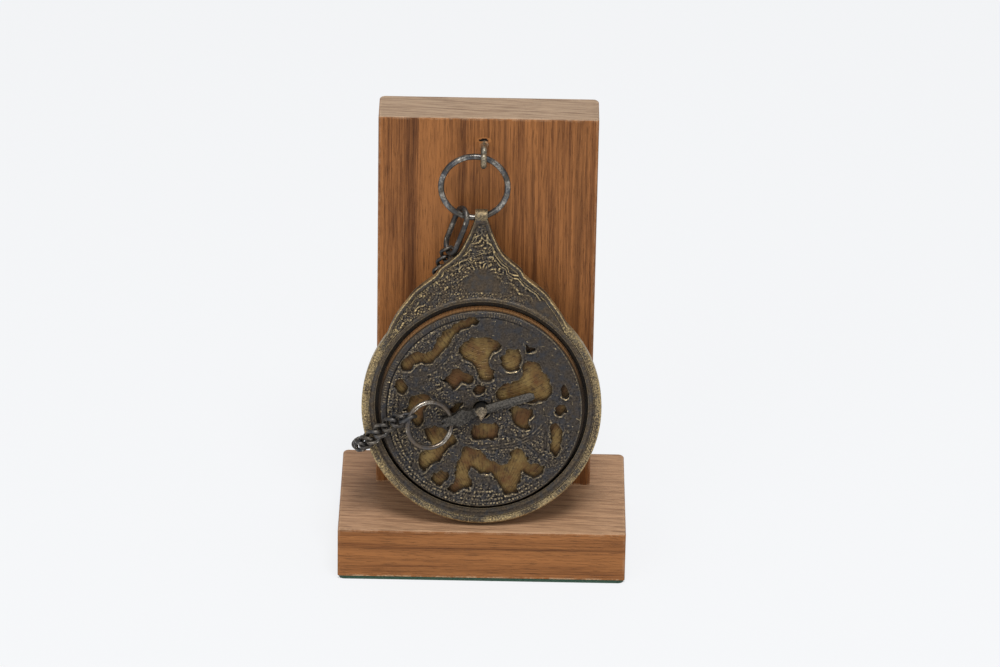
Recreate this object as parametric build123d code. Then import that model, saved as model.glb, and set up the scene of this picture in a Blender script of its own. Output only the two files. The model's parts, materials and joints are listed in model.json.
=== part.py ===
from build123d import *
from math import atan2, cos, hypot, radians, sin, sqrt
import os

# A small brass astrolabe that hangs by its ring on a wooden display stand.
# Millimetres, +Z up. The origin is the middle of the felt's underside, the front faces -Y.
# The brass parts are drawn in the disc's own frame: x to the right, y up the disc towards
# its eye, z out of its face, with zero at the centre of the limb's front face. The disc
# leans back on its foot, and place_disc() puts that frame in the stand.

# Stand: two three-quarter inch boards on a felt pad
BOARD = 19.05
BASE_WIDTH = 105.6
BASE_DEPTH = 63.9
UPRIGHT_WIDTH = 79.6
UPRIGHT_SETBACK = 6.4
UPRIGHT_ABOVE_HOOK = 10.5
BACK_CORNER_R = 2.2
BOARD_EDGE_R = 0.7
FELT_THICKNESS = 1.5
FELT_INSET = 0.4
SCREW_SPACING = 44.0
SCREW_SHANK_D = 4.2
SCREW_CORE_D = 3.2
SCREW_HEAD_D = 8.2
SCREW_HEAD_HEIGHT = 2.6
SCREW_SINK = 3.0
SCREW_GRIP = 20.0
SCREW_CLEARANCE = 0.1

# Hook in the upright: out of the board, down to a flat seat, and up again to its tip
HOOK_X = -1.6
HOOK_WIRE = 2.3
HOOK_ROOT = 12.0
HOOK_REACH = 7.0
HOOK_DROP = 4.35
HOOK_SEAT_HALF = 2.4
HOOK_TIP_LENGTH = 5.2
HOOK_TIP_ANGLE = 66.0
HOOK_BEND_R = 1.7

# Suspension ring
RING_X = -4.8
RING_R = 12.05
RING_WIRE = 2.2

# Mater: a dished brass disc with its throne and eye, cast in one
LEAN_DEGREES = 12.33
LIMB_R = 43.8
LIMB_WIDTH = 4.9
MATER_THICKNESS = 6.0
MATER_X = -0.9
MATER_EDGE = 0.5
RECESS_RISE = 0.9
RECESS_DEPTH = 3.6
LIP_WIDTH = 2.2
GROOVE_WIDTH = 0.35
GROOVE_DEPTH = 0.3
THRONE_X = -1.2
THRONE_THICKNESS = 5.2
THRONE_BORDER = 1.7
THRONE_PANEL_DEPTH = 0.45
EYE_ABOVE_LIMB = 27.3
EYE_WIDTH = 4.5
EYE_R = 2.6
EYE_HOLE_R = 1.75
EYE_HOLE_FLARE = 0.4

# Two plates in the mater, held from turning by a peg that stands on its floor
PLATE_THICKNESS = 1.7
PLATE_GAP = 1.5
LOWER_PLATE_GAP = 1.2
PEG_R = 0.8
PEG_FROM_EDGE = 3.4
PEG_CLEARANCE = 0.1

# Rete: the pierced star map that turns over the plates
RETE_GAP = 2.2
RETE_THICKNESS = 2.5
RETE_LIFT = 0.15
RETE_EDGE = 0.25
RETE_EYE_R = 3.1
RETE_EYE_DEPTH = 1.1

# Pin through everything, and the wedge through the pin
PIN_R = 2.6
PIN_TOP = 9.6
PIN_TOP_CHAMFER = 0.6
PIN_FLAT_HALF = 2.15
PIN_FOOT_ANGLE = 33.0
PIN_HEAD_R = 5.2
PIN_HEAD_HEIGHT = 1.6
RUNNING_FIT = 0.05
WEDGE_ANGLE = 17.0
WEDGE_LIFT = 0.2
WEDGE_HEAD_THICKNESS = 3.4
WEDGE_NECK_THICKNESS = 2.35
WEDGE_TIP_THICKNESS = 1.75
WEDGE_HALF_WIDTH = 1.5
WEDGE_RIDGE_DROP = 0.7
WEDGE_RIDGE_SHIFT = -0.25
WEDGE_TIP = 20.0
WEDGE_TIP_BEVEL = 1.4
WEDGE_SLOT_CLEARANCE = 0.1
WEDGE_EYE = -11.5
WEDGE_EYE_R = 1.25

# Small ring in the wedge's head
SMALL_RING_R = 8.4
SMALL_RING_WIRE = 1.7
SMALL_RING_ANGLE = 11.2
SMALL_RING_TILT = 20.0

# Alidade: the sighting rule on the back
ALIDADE_INSIDE_LIMB = 7.8
ALIDADE_WIDTH = 8.0
ALIDADE_TIP_WIDTH = 3.0
ALIDADE_THICKNESS = 1.6
ALIDADE_HUB_R = 6.8
ALIDADE_LIFT = 0.1
VANE_FROM_TIP = 13.0
VANE_WIDTH = 7.0
VANE_HEIGHT = 7.0
VANE_THICKNESS = 1.2
VANE_FOOT = 5.0
VANE_SIGHT_R = 0.6
VANE_SIGHT_HEIGHT = 4.6
RIVET_R = 0.7
RIVET_HEAD_R = 1.2
RIVET_HEAD_HEIGHT = 0.6
RIVET_SPACING = 4.0

# Chain: one long link on the suspension ring, then curb links to the small ring
LONG_LINK_LENGTH = 18.1
LONG_LINK_WIDTH = 7.8
LONG_LINK_WIRE = 2.0
LONG_LINK_ROLL = 59.0
LONG_LINK_X = -8.9
LONG_LINK_GRIP = -55.0
LINK_PITCH = 4.1
LINK_WIRE = 1.4
LINK_PLAY = 0.3
LINK_HALF_WIDTH = 2.45
LINK_END_HALF = 1.7
LINK_END_R = 1.35
LINK_SIDE_R = 2.0
LINK_TWIST = 55.0
END_LINK_HALF_WIDTH = 2.7
END_LINK_GRIP = 110.0
END_LINK_PLAY = 0.3

# Rest clearances between pieces that touch
TOUCH = 0.05
HANG_TOUCH = 0.15

# Half of the throne's outline as (half width, height over the limb's top), in four runs
# that meet in cusps
THRONE_RUNS = [
    [(33.6, -17.3), (32.2, -13.6), (29.6, -8.8), (26.0, -3.8)],
    [(26.0, -3.8), (23.8, -0.9), (20.4, 2.0), (15.7, 5.8)],
    [(15.7, 5.8), (14.4, 8.0), (12.2, 9.8), (10.3, 11.4)],
    [(10.3, 11.4), (7.6, 14.1), (5.6, 17.6), (3.7, 22.0), (2.25, 26.2)],
]

# The rete's openings, each a closed curve through a few points, for a rete of this radius
RETE_DRAWN_R = 36.7
RETE_OPENINGS = {
    "long crescent": [(-29.6, 15.3), (-27.2, 19.3), (-24.4, 20.9), (-18.8, 21.5), (-17.0, 25.0),
                      (-13.4, 29.5), (-8.0, 33.0), (-3.0, 34.2), (-1.8, 32.8), (-7.0, 30.2),
                      (-11.0, 26.0), (-15.5, 20.5), (-19.5, 16.8), (-22.6, 17.2), (-25.2, 15.0),
                      (-27.6, 13.6)],
    "tall window": [(-8.0, 24.2), (-4.5, 26.4), (1.0, 26.8), (5.6, 25.4), (6.8, 23.6), (3.4, 20.8),
                    (2.4, 17.4), (3.8, 14.4), (4.2, 11.6), (2.0, 10.2), (-0.4, 10.9), (-2.0, 14.2),
                    (-3.4, 17.3), (-6.6, 18.3)],
    "branch": [(-14.6, 11.2), (-12.0, 12.6), (-11.2, 14.6), (-9.4, 15.3), (-6.6, 14.2),
               (-3.0, 11.2), (-4.4, 9.2), (-7.2, 9.8), (-9.4, 7.7), (-12.0, 8.9)],
    "bean": [(-3.2, 7.0), (-1.6, 9.0), (0.6, 8.6), (1.0, 6.8), (-0.6, 5.4), (-2.6, 5.6)],
    "round window": [(6.6, 18.0), (7.6, 20.8), (9.8, 22.4), (12.4, 22.8), (14.2, 21.0),
                     (14.0, 17.5), (12.6, 15.0), (10.0, 14.5), (7.8, 15.6)],
    "great sail": [(15.4, 17.6), (17.6, 18.4), (20.0, 17.6), (22.6, 13.8), (25.2, 10.0),
                   (25.2, 6.0), (22.4, 3.6), (18.0, 3.0), (12.0, 3.4), (5.6, 3.8), (5.4, 6.6),
                   (8.4, 9.6), (12.8, 10.9), (14.8, 13.4)],
    "notched window": [(10.2, 0.2), (12.4, 1.2), (15.4, 0.9), (18.4, -0.3), (18.8, -2.2),
                       (17.2, -3.8), (17.8, -6.2), (16.0, -7.8), (13.4, -6.4), (11.4, -4.6),
                       (11.6, -2.4)],
    "square window": [(-3.9, -8.2), (-1.8, -6.2), (2.0, -5.2), (5.6, -5.4), (6.5, -8.2),
                      (5.6, -11.3), (1.2, -11.7), (-2.8, -11.4)],
    "foot flames": [(-6.3, -14.8), (-7.4, -19.0), (-9.3, -24.4), (-9.9, -28.2), (-11.6, -30.0),
                    (-10.6, -31.9), (-8.2, -31.5), (-6.2, -30.0), (-3.8, -30.3), (-3.0, -27.8),
                    (-4.5, -24.4), (-3.2, -22.4), (-0.4, -24.0), (3.2, -24.2), (6.2, -26.8),
                    (8.2, -31.0), (11.1, -32.2), (13.8, -30.8), (12.8, -28.6), (14.6, -27.0),
                    (14.5, -23.8), (18.6, -25.0), (22.4, -24.2), (23.6, -22.0), (21.4, -20.3),
                    (18.0, -20.0), (16.4, -16.6), (13.8, -14.4), (11.5, -15.8), (9.6, -20.2),
                    (6.4, -20.6), (2.4, -18.0), (-1.6, -15.2)],
    "swan": [(-21.0, -8.5), (-19.5, -7.0), (-14.5, -7.0), (-11.0, -9.4), (-8.5, -12.2),
             (-9.9, -13.9), (-12.6, -15.6), (-14.8, -19.4), (-18.2, -21.4), (-20.9, -24.2),
             (-22.2, -21.8), (-21.8, -16.8), (-18.6, -14.4), (-19.4, -11.4)],
    "ear": [(-28.4, -0.6), (-26.6, 1.6), (-25.8, 3.8), (-23.2, 4.8), (-20.4, 4.7), (-18.4, 3.0),
            (-20.2, 0.4), (-21.2, -2.4), (-21.4, -5.2), (-23.2, -7.0), (-25.0, -5.8),
            (-25.8, -2.2)],
    "west pip": [(-31.8, 9.2), (-30.6, 10.8), (-28.6, 9.8), (-27.0, 7.6), (-27.8, 5.6),
                 (-29.9, 5.4), (-31.4, 7.2)],
    "hook slit": [(-12.0, 0.2), (-10.2, 1.6), (-8.6, 2.8), (-7.0, 2.0), (-8.2, 0.2),
                  (-9.0, -1.4), (-11.2, -1.2)],
    "south pip": [(-17.7, -26.0), (-16.0, -24.2), (-13.6, -23.7), (-11.9, -25.1),
                  (-12.5, -27.4), (-14.8, -29.2), (-17.0, -28.2)],
    "north pit": [(16.3, 24.6), (18.0, 23.6), (19.4, 22.4), (17.8, 21.8), (16.3, 21.8),
                  (15.9, 23.2)],
    "east slit": [(29.0, 7.8), (30.2, 9.6), (31.4, 7.6), (30.6, 4.6), (29.4, 5.2)],
    "east pip": [(26.9, 0.1), (28.8, 2.0), (30.7, 0.1), (28.8, -1.8)],
    "east blade": [(25.4, -5.8), (27.2, -4.7), (28.9, -6.2), (29.3, -10.8), (28.7, -15.6),
                   (27.0, -17.1), (25.5, -15.0), (25.9, -11.8), (25.2, -9.0)],
}

# The wedge's head seen from the front as (along, across), behind the straight bar
WEDGE_HEAD = [(-3.0, 1.5), (-5.2, 1.7), (-6.5, 2.7), (-7.9, 2.6), (-9.2, 1.7), (-10.6, 1.4),
              (-12.2, 1.5), (-14.2, 1.2), (-15.2, 0.4), (-13.6, -0.2), (-15.4, -1.0),
              (-14.6, -1.9), (-12.6, -1.9), (-10.6, -2.0), (-9.4, -3.2), (-7.6, -2.9),
              (-5.3, -2.1), (-3.0, -1.5)]

# Way of the chain in the disc's frame, for a limb of this radius: down behind the disc, and
# over its face
WAY_DRAWN_R = 43.8
BACK_WAY = [(-16.2, 47.6, -9.0), (-21.4, 30.4, -10.6), (-26.2, 13.4, -11.6), (-30.2, 0.5, -11.8),
            (-33.9, -8.0, -11.4), (-38.2, -13.4, -10.8), (-43.0, -16.4, -9.0),
            (-45.9, -17.0, -6.4)]
FRONT_WAY = [(-29.7, -2.9, 7.4), (-33.3, -5.2, 5.6), (-36.8, -8.1, 4.8), (-40.0, -11.2, 3.6),
             (-43.0, -13.8, 1.4), (-45.2, -15.7, -2.4)]
SMALL_RING_GRIP = 157.0

# Places worked out from the sizes above
BASE_TOP = FELT_THICKNESS + BOARD
UPRIGHT_FRONT = BASE_DEPTH / 2 - UPRIGHT_SETBACK - BOARD
RING_Y = UPRIGHT_FRONT - HOOK_REACH
RECESS_R = LIMB_R - LIMB_WIDTH
PLATE_R = RECESS_R - PLATE_GAP
LOWER_PLATE_R = RECESS_R - LOWER_PLATE_GAP
PEG_DISTANCE = PLATE_R - PEG_FROM_EDGE
RETE_R = RECESS_R - RETE_GAP
EYE_HEIGHT = LIMB_R + EYE_ABOVE_LIMB
ALIDADE_HALF_LENGTH = LIMB_R - ALIDADE_INSIDE_LIMB
VANE_REACH = ALIDADE_HALF_LENGTH - VANE_FROM_TIP
BACK_FACE = -MATER_THICKNESS
UPPER_PLATE_TOP = 2 * PLATE_THICKNESS - RECESS_DEPTH
RETE_BOTTOM = UPPER_PLATE_TOP + RETE_LIFT
RETE_TOP = RETE_BOTTOM + RETE_THICKNESS
ALIDADE_TOP = BACK_FACE - ALIDADE_LIFT
ALIDADE_BACK = ALIDADE_TOP - ALIDADE_THICKNESS
WEDGE_BOTTOM = RETE_TOP + WEDGE_LIFT
WEDGE_EYE_Z = WEDGE_BOTTOM + WEDGE_HEAD_THICKNESS / 2


def ring_drop(x):
    """How far the suspension ring's lower wire lies below its middle at a given x."""
    return sqrt(RING_R ** 2 - (x - RING_X) ** 2)


# The disc leans back with its foot on the base, its eye hangs on the ring's wire, and the
# hook is as high as the ring then needs
LEAN = radians(LEAN_DEGREES)
FOOT_DISTANCE = hypot(EYE_HEIGHT + LIMB_R, MATER_THICKNESS - EYE_R)
FOOT_ANGLE = atan2(MATER_THICKNESS - EYE_R, EYE_HEIGHT + LIMB_R)
EYE_X = MATER_X + THRONE_X
EYE_Z = BASE_TOP + TOUCH + FOOT_DISTANCE * cos(LEAN - FOOT_ANGLE)
RING_Z = EYE_Z + (ring_drop(EYE_X - EYE_WIDTH / 2) + ring_drop(EYE_X + EYE_WIDTH / 2)) / 2
RING_SEAT = RING_R - (RING_WIRE + HOOK_WIRE) / 2 - TOUCH
SEAT_Z = RING_Z + sqrt(RING_SEAT ** 2 - (HOOK_X - RING_X) ** 2)
HOOK_Z = SEAT_Z + HOOK_DROP
UPRIGHT_HEIGHT = HOOK_Z - BASE_TOP + UPRIGHT_ABOVE_HOOK
FACE_OUT = Vector(0, -cos(LEAN), sin(LEAN))
DISC_UP = Vector(0, sin(LEAN), cos(LEAN))
DISC_CENTRE = Vector(MATER_X, RING_Y, EYE_Z) - DISC_UP * EYE_HEIGHT + FACE_OUT * EYE_R
DISC_FRAME = Plane(origin=DISC_CENTRE, x_dir=(1, 0, 0), z_dir=FACE_OUT)


def place_disc(shape):
    """Put a piece drawn in the disc's frame into the stand."""
    return DISC_FRAME.location * shape


def turned(shape, angle):
    """Turn a piece about the disc's own axis."""
    return Rot(0, 0, angle) * shape


def slab(face, bottom, top):
    """A flat piece between two heights of the disc's frame."""
    return Pos(0, 0, bottom) * extrude(face, top - bottom)


def bar(radius, bottom, top):
    """A round bar along the disc's axis."""
    return slab(Circle(radius), bottom, top)


def closed_curve(points, scale):
    """The face inside a smooth closed curve, its points drawn at another scale."""
    return make_face(Spline(*[(x * scale, y * scale) for x, y in points], periodic=True))


# Stand

def board(width, depth, height):
    """A board with eased edges and rounder upright corners at its back."""
    block = Box(width, depth, height)
    upright_edges = block.edges().filter_by(Axis.Z).sort_by(Axis.Y)
    block = fillet(upright_edges[2:], BACK_CORNER_R)
    block = fillet(block.edges().filter_by(Axis.Z).sort_by(Axis.Y)[:2], BOARD_EDGE_R)
    return fillet(block.faces().sort_by(Axis.Z)[-1].edges(), BOARD_EDGE_R)


def screw_places():
    """The two screws that hold the upright, seen from below."""
    y = UPRIGHT_FRONT + BOARD / 2
    return [Pos(side * SCREW_SPACING / 2, y, FELT_THICKNESS) for side in (-1, 1)]


def screw(play):
    """A countersunk wood screw pointing up, grown by some play for its hole."""
    sink = SCREW_SINK
    shoulder = BOARD
    point = BOARD + SCREW_GRIP
    head_r = SCREW_HEAD_D / 2 + play
    shank_r = SCREW_SHANK_D / 2 + play
    core_r = SCREW_CORE_D / 2 + play
    outline = Polyline(
        (0, sink), (head_r, sink), (shank_r, sink + SCREW_HEAD_HEIGHT), (shank_r, shoulder),
        (core_r, shoulder), (core_r, point - core_r), (0, point), close=True)
    return revolve(Plane.XZ * make_face(outline), Axis.Z)


def screw_hole():
    """Room for a screw, with the wider bore that its head is driven through."""
    bore = extrude(Circle(SCREW_HEAD_D / 2 + SCREW_CLEARANCE), SCREW_SINK)
    return screw(SCREW_CLEARANCE) + bore


def base_board():
    block = Pos(0, 0, FELT_THICKNESS + BOARD / 2) * board(BASE_WIDTH, BASE_DEPTH, BOARD)
    for place in screw_places():
        block -= place * screw_hole()
    return block


def hook_path():
    """The hook's middle line, from its root in the board to its tip."""
    tip = radians(HOOK_TIP_ANGLE)
    seat_back = HOOK_REACH - HOOK_SEAT_HALF
    seat_front = HOOK_REACH + HOOK_SEAT_HALF
    points = [
        (-HOOK_ROOT, 0), (seat_back, 0), (seat_back, -HOOK_DROP), (seat_front, -HOOK_DROP),
        (seat_front + HOOK_TIP_LENGTH * cos(tip), -HOOK_DROP + HOOK_TIP_LENGTH * sin(tip))]
    path = FilletPolyline(*points, radius=HOOK_BEND_R)
    outward = Plane(origin=(HOOK_X, UPRIGHT_FRONT, HOOK_Z), x_dir=(0, -1, 0), z_dir=(-1, 0, 0))
    return outward.location * path


def cup_hook():
    path = hook_path()
    wire = sweep(Plane(origin=path @ 0, z_dir=path % 0) * Circle(HOOK_WIRE / 2), path=path)
    tip = path @ 1
    return wire + Pos(tip.X, tip.Y, tip.Z) * Sphere(HOOK_WIRE / 2)


def upright_board():
    middle = UPRIGHT_FRONT + BOARD / 2
    block = board(UPRIGHT_WIDTH, BOARD, UPRIGHT_HEIGHT)
    block = Pos(0, middle, BASE_TOP + UPRIGHT_HEIGHT / 2) * block
    for place in screw_places():
        block -= place * screw_hole()
    root = Cylinder(HOOK_WIRE / 2, HOOK_ROOT, rotation=(90, 0, 0))
    return block - Pos(HOOK_X, UPRIGHT_FRONT + HOOK_ROOT / 2, HOOK_Z) * root


def stand_screws():
    return [place * screw(0) for place in screw_places()]


def felt_pad():
    pad = Box(BASE_WIDTH - 2 * FELT_INSET, BASE_DEPTH - 2 * FELT_INSET, FELT_THICKNESS)
    pad = fillet(pad.edges().filter_by(Axis.Z), BACK_CORNER_R)
    return Pos(0, 0, FELT_THICKNESS / 2) * pad


def suspension_ring():
    return Pos(RING_X, RING_Y, RING_Z) * Rot(90, 0, 0) * Torus(RING_R, RING_WIRE / 2)


# Mater

def throne_face():
    """The throne from the limb up to the neck below the eye."""
    lines = []
    for run in THRONE_RUNS:
        lines.append(Spline(*[(THRONE_X + x, LIMB_R + y) for x, y in run]))
        lines.append(Spline(*[(THRONE_X - x, LIMB_R + y) for x, y in run]))
    for width, height in (THRONE_RUNS[0][0], THRONE_RUNS[-1][-1]):
        left = (THRONE_X - width, LIMB_R + height)
        lines.append(Line(left, (THRONE_X + width, LIMB_R + height)))
    return make_face(lines)


def eye_bar(radius, width):
    """A round bar across the disc, on the eye's own axis."""
    return Pos(THRONE_X, EYE_HEIGHT, -EYE_R) * Cylinder(radius, width, rotation=(0, 90, 0))


def eye_hole():
    """The eye's hole, flared where the ring's curved wire leaves it."""
    hole = eye_bar(EYE_HOLE_R, 2 * EYE_WIDTH)
    for side in (-1, 1):
        flare = Cone(EYE_HOLE_R, EYE_HOLE_R + EYE_HOLE_FLARE, EYE_HOLE_FLARE,
                     rotation=(0, 90 * side, 0))
        x = THRONE_X + side * (EYE_WIDTH - EYE_HOLE_FLARE) / 2
        hole += Pos(x, EYE_HEIGHT, -EYE_R) * flare
    return hole


def mater():
    outline = throne_face()
    limb = bar(LIMB_R, BACK_FACE, 0)
    rim = limb.edges().filter_by(GeomType.CIRCLE)
    body = chamfer(rim, MATER_EDGE) + slab(outline, -THRONE_THICKNESS, 0)
    neck_height = LIMB_R + THRONE_RUNS[-1][-1][1]
    neck = Box(EYE_WIDTH, EYE_HEIGHT - neck_height, THRONE_THICKNESS)
    body += Pos(THRONE_X, (EYE_HEIGHT + neck_height) / 2, -THRONE_THICKNESS / 2) * neck
    body += eye_bar(EYE_R, EYE_WIDTH)
    body -= eye_hole()
    body -= Pos(0, RECESS_RISE) * bar(RECESS_R, -RECESS_DEPTH, MATER_EDGE)
    lip_r = RECESS_R + LIP_WIDTH
    inner = [face.to_splines() for face in offset(outline, -THRONE_BORDER).faces()]
    panel = Sketch() + inner - Circle(lip_r + GROOVE_WIDTH)
    body -= slab(panel, -THRONE_PANEL_DEPTH, 0)
    groove = Circle(lip_r + GROOVE_WIDTH) - Circle(lip_r)
    body -= slab(groove, -GROOVE_DEPTH, 0)
    body -= bar(PIN_R + RUNNING_FIT, BACK_FACE, 0)
    return body + Pos(0, -PEG_DISTANCE) * bar(PEG_R, BACK_FACE, UPPER_PLATE_TOP)


def plate(radius, bottom):
    """A plate with its holes for the pin and for the peg near its foot."""
    face = Circle(radius) - Circle(PIN_R + RUNNING_FIT)
    face -= Pos(0, -PEG_DISTANCE) * Circle(PEG_R + PEG_CLEARANCE)
    return slab(face, bottom, bottom + PLATE_THICKNESS)


def rete():
    disc = bar(RETE_R, RETE_BOTTOM, RETE_TOP)
    disc = chamfer(disc.edges().filter_by(GeomType.CIRCLE).sort_by(Axis.Z)[-1], RETE_EDGE)
    for points in RETE_OPENINGS.values():
        disc -= slab(closed_curve(points, RETE_R / RETE_DRAWN_R), RETE_BOTTOM, RETE_TOP)
    disc -= bar(PIN_R + RUNNING_FIT, RETE_BOTTOM, RETE_TOP)
    return disc - bar(RETE_EYE_R, RETE_TOP - RETE_EYE_DEPTH, RETE_TOP)


# Pin, wedge and small ring

def wedge_top(along):
    """Height of the wedge's sloping top, at a distance from the pin."""
    slope = (WEDGE_NECK_THICKNESS - WEDGE_TIP_THICKNESS) / (WEDGE_TIP + PIN_R)
    return WEDGE_BOTTOM + WEDGE_NECK_THICKNESS - slope * (along + PIN_R)


def pin():
    """The pin: round in its bores, and filed to flats and to a pointed foot above the rete."""
    head_top = ALIDADE_BACK - ALIDADE_LIFT
    shaft = bar(PIN_R, head_top, PIN_TOP)
    flat_bottom = RETE_TOP - RETE_EYE_DEPTH
    middle = (PIN_TOP + flat_bottom) / 2
    filed = Box(2 * PIN_R, 4 * PIN_R, PIN_TOP - flat_bottom)
    for side in (-1, 1):
        flat = Pos(side * (PIN_FLAT_HALF + PIN_R), 0, middle) * filed
        foot = Pos(0, -PIN_R, middle) * Rot(0, 0, -side * PIN_FOOT_ANGLE) * Pos(side * PIN_R) * filed
        shaft = shaft - turned(flat, WEDGE_ANGLE) - foot
    shaft = chamfer(shaft.faces().sort_by(Axis.Z)[-1].edges(), PIN_TOP_CHAMFER)
    head = bar(PIN_HEAD_R, head_top - PIN_HEAD_HEIGHT, head_top)
    head = chamfer(head.edges().filter_by(GeomType.CIRCLE).sort_by(Axis.Z)[0], MATER_EDGE)
    slot_bottom = WEDGE_BOTTOM - WEDGE_SLOT_CLEARANCE
    slot_top = wedge_top(-PIN_R) + WEDGE_SLOT_CLEARANCE
    slot_width = 2 * (WEDGE_HALF_WIDTH + WEDGE_SLOT_CLEARANCE)
    slot = Pos(0, 0, (slot_top + slot_bottom) / 2) * Box(4 * PIN_R, slot_width,
                                                         slot_top - slot_bottom)
    return shaft + head - turned(slot, WEDGE_ANGLE)


def wedge():
    """The horse: a tapered bar with a notched head that carries the small ring."""
    half = WEDGE_HALF_WIDTH
    end_half = half - WEDGE_TIP_BEVEL / 2
    front = WEDGE_HEAD + [(WEDGE_TIP - WEDGE_TIP_BEVEL, -half), (WEDGE_TIP, -end_half),
                          (WEDGE_TIP, end_half), (WEDGE_TIP - WEDGE_TIP_BEVEL, half)]
    seen = slab(make_face(Polyline(*front, close=True)), WEDGE_BOTTOM, PIN_TOP)
    head_end = min(along for along, across in WEDGE_HEAD)
    head_top = WEDGE_BOTTOM + WEDGE_HEAD_THICKNESS
    side = Polyline(
        (head_end, WEDGE_BOTTOM), (WEDGE_TIP, WEDGE_BOTTOM), (WEDGE_TIP, wedge_top(WEDGE_TIP)),
        (-PIN_R, wedge_top(-PIN_R)), (WEDGE_HEAD[2][0], head_top), (head_end, head_top),
        close=True)
    profile = extrude(Plane.XZ * make_face(side), 2 * PIN_R, both=True)
    body = turned((seen & profile) - wedge_bevels(), WEDGE_ANGLE)
    return body - wedge_eye() * Cylinder(WEDGE_EYE_R, 4 * half, rotation=(90, 0, 0))


def wedge_bevels():
    """What is filed off both top edges of the bar, so that a ridge runs along it."""
    start = Vector(-PIN_R, 0, wedge_top(-PIN_R))
    along = (Vector(WEDGE_TIP, 0, wedge_top(WEDGE_TIP)) - start).normalized()
    section = Plane(origin=start, x_dir=(0, 1, 0), z_dir=along)
    bevels = []
    for side in (-1, 1):
        edge = side * WEDGE_HALF_WIDTH
        corner = Polyline((WEDGE_RIDGE_SHIFT, 0), (edge, -WEDGE_RIDGE_DROP),
                          (2 * edge, -WEDGE_RIDGE_DROP), (2 * edge, PIN_R),
                          (WEDGE_RIDGE_SHIFT, PIN_R), close=True)
        bevels.append(extrude(section * make_face(corner), 2 * WEDGE_TIP))
    return bevels


def wedge_eye():
    """The eye's place, its y axis along the hole and its x axis away from the small ring."""
    angle = radians(WEDGE_ANGLE)
    place = Pos(WEDGE_EYE * cos(angle), WEDGE_EYE * sin(angle), WEDGE_EYE_Z)
    return place * Rot(0, 0, SMALL_RING_ANGLE)


def small_ring_place():
    """The small ring's middle, its edge lifted off the face by the chain's first link."""
    return wedge_eye() * Rot(0, SMALL_RING_TILT, 0) * Pos(-SMALL_RING_R, 0, 0)


def small_ring():
    return small_ring_place() * Torus(SMALL_RING_R, SMALL_RING_WIRE / 2)


# Alidade

def alidade_bar():
    outline = [(0, ALIDADE_HALF_LENGTH), (ALIDADE_TIP_WIDTH / 2, ALIDADE_HALF_LENGTH - 2),
               (ALIDADE_WIDTH / 2, 0)]
    right = outline + [(x, -y) for x, y in reversed(outline[:2])]
    left = [(-x, y) for x, y in reversed(right[1:-1])]
    face = make_face(Polyline(*(right + left), close=True)) + Circle(ALIDADE_HUB_R)
    face -= Circle(PIN_R + RUNNING_FIT)
    body = slab(face, ALIDADE_BACK, ALIDADE_TOP)
    for place in rivet_places():
        body -= place * Cylinder(RIVET_R, 2 * ALIDADE_THICKNESS)
    return body


def rivet_places():
    """Two rivets through the foot of each vane."""
    places = []
    for end in (-1, 1):
        for side in (-1, 1):
            y = end * (VANE_REACH - VANE_FOOT / 2)
            places.append(Pos(side * RIVET_SPACING / 2, y, ALIDADE_BACK))
    return places


def sight_vane(end):
    """A sighting vane with its foot towards the hub."""
    foot = Box(VANE_WIDTH, VANE_FOOT, VANE_THICKNESS)
    middle = end * (VANE_REACH - VANE_FOOT / 2)
    vane = Pos(0, middle, ALIDADE_BACK - VANE_THICKNESS / 2) * foot
    arch_r = VANE_WIDTH / 2
    face = Pos(0, -VANE_HEIGHT / 2 + arch_r / 2) * Rectangle(VANE_WIDTH, VANE_HEIGHT - arch_r)
    face += Pos(0, -VANE_HEIGHT + arch_r) * Circle(arch_r)
    face -= Pos(0, -VANE_SIGHT_HEIGHT) * Circle(VANE_SIGHT_R)
    upright = Plane(origin=(0, end * VANE_REACH, ALIDADE_BACK), x_dir=(end, 0, 0),
                    z_dir=(0, -end, 0))
    vane += upright.location * extrude(face, VANE_THICKNESS)
    for place in rivet_places():
        vane -= place * Cylinder(RIVET_R, 4 * VANE_THICKNESS)
    return vane


def vane_rivets():
    rivets = []
    for place in rivet_places():
        shank = Pos(0, 0, (ALIDADE_THICKNESS - VANE_THICKNESS) / 2) * Cylinder(
            RIVET_R, ALIDADE_THICKNESS + VANE_THICKNESS)
        head = Pos(0, 0, -VANE_THICKNESS - RIVET_HEAD_HEIGHT / 2) * Cone(
            RIVET_R, RIVET_HEAD_R, RIVET_HEAD_HEIGHT)
        rivets.append(place * (shank + head))
    return rivets


# Chain

def curb_link(half_width=LINK_HALF_WIDTH, start=-LINK_TWIST, end=LINK_TWIST):
    """A twisted link along x, its plane turned from one angle to another end to end."""
    half_length = (LINK_PITCH + LINK_WIRE + LINK_PLAY) / 2
    corners = [(half_length, 0, end), (half_length, LINK_END_HALF, end),
               (0, half_width, (start + end) / 2),
               (-half_length, LINK_END_HALF, start), (-half_length, 0, start)]
    points = [(x, across * cos(radians(roll)), across * sin(radians(roll)))
              for x, across, roll in corners]
    path = FilletPolyline(*points, radius=[LINK_END_R, LINK_SIDE_R, LINK_END_R])
    half = sweep(Plane(origin=path @ 0, z_dir=path % 0) * Circle(LINK_WIRE / 2), path=path)
    return half + Rot(180, 0, 0) * half


def link_frames(start, way, side):
    """A frame for each link of a run: x along the link, z to the given side of the disc."""
    scale = LIMB_R / WAY_DRAWN_R
    path = Spline(start, *[(x * scale, y * scale, z) for x, y, z in way])
    count = int(path.length / LINK_PITCH)
    joints = [path.position_at(step * LINK_PITCH, position_mode=PositionMode.LENGTH)
              for step in range(count + 1)]
    frames = []
    for first, last in zip(joints, joints[1:]):
        along = (last - first).normalized()
        away = Vector(0, 0, side) - along * side * along.Z
        frames.append(Plane(origin=(first + last) / 2, x_dir=along, z_dir=away))
    return frames


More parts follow.
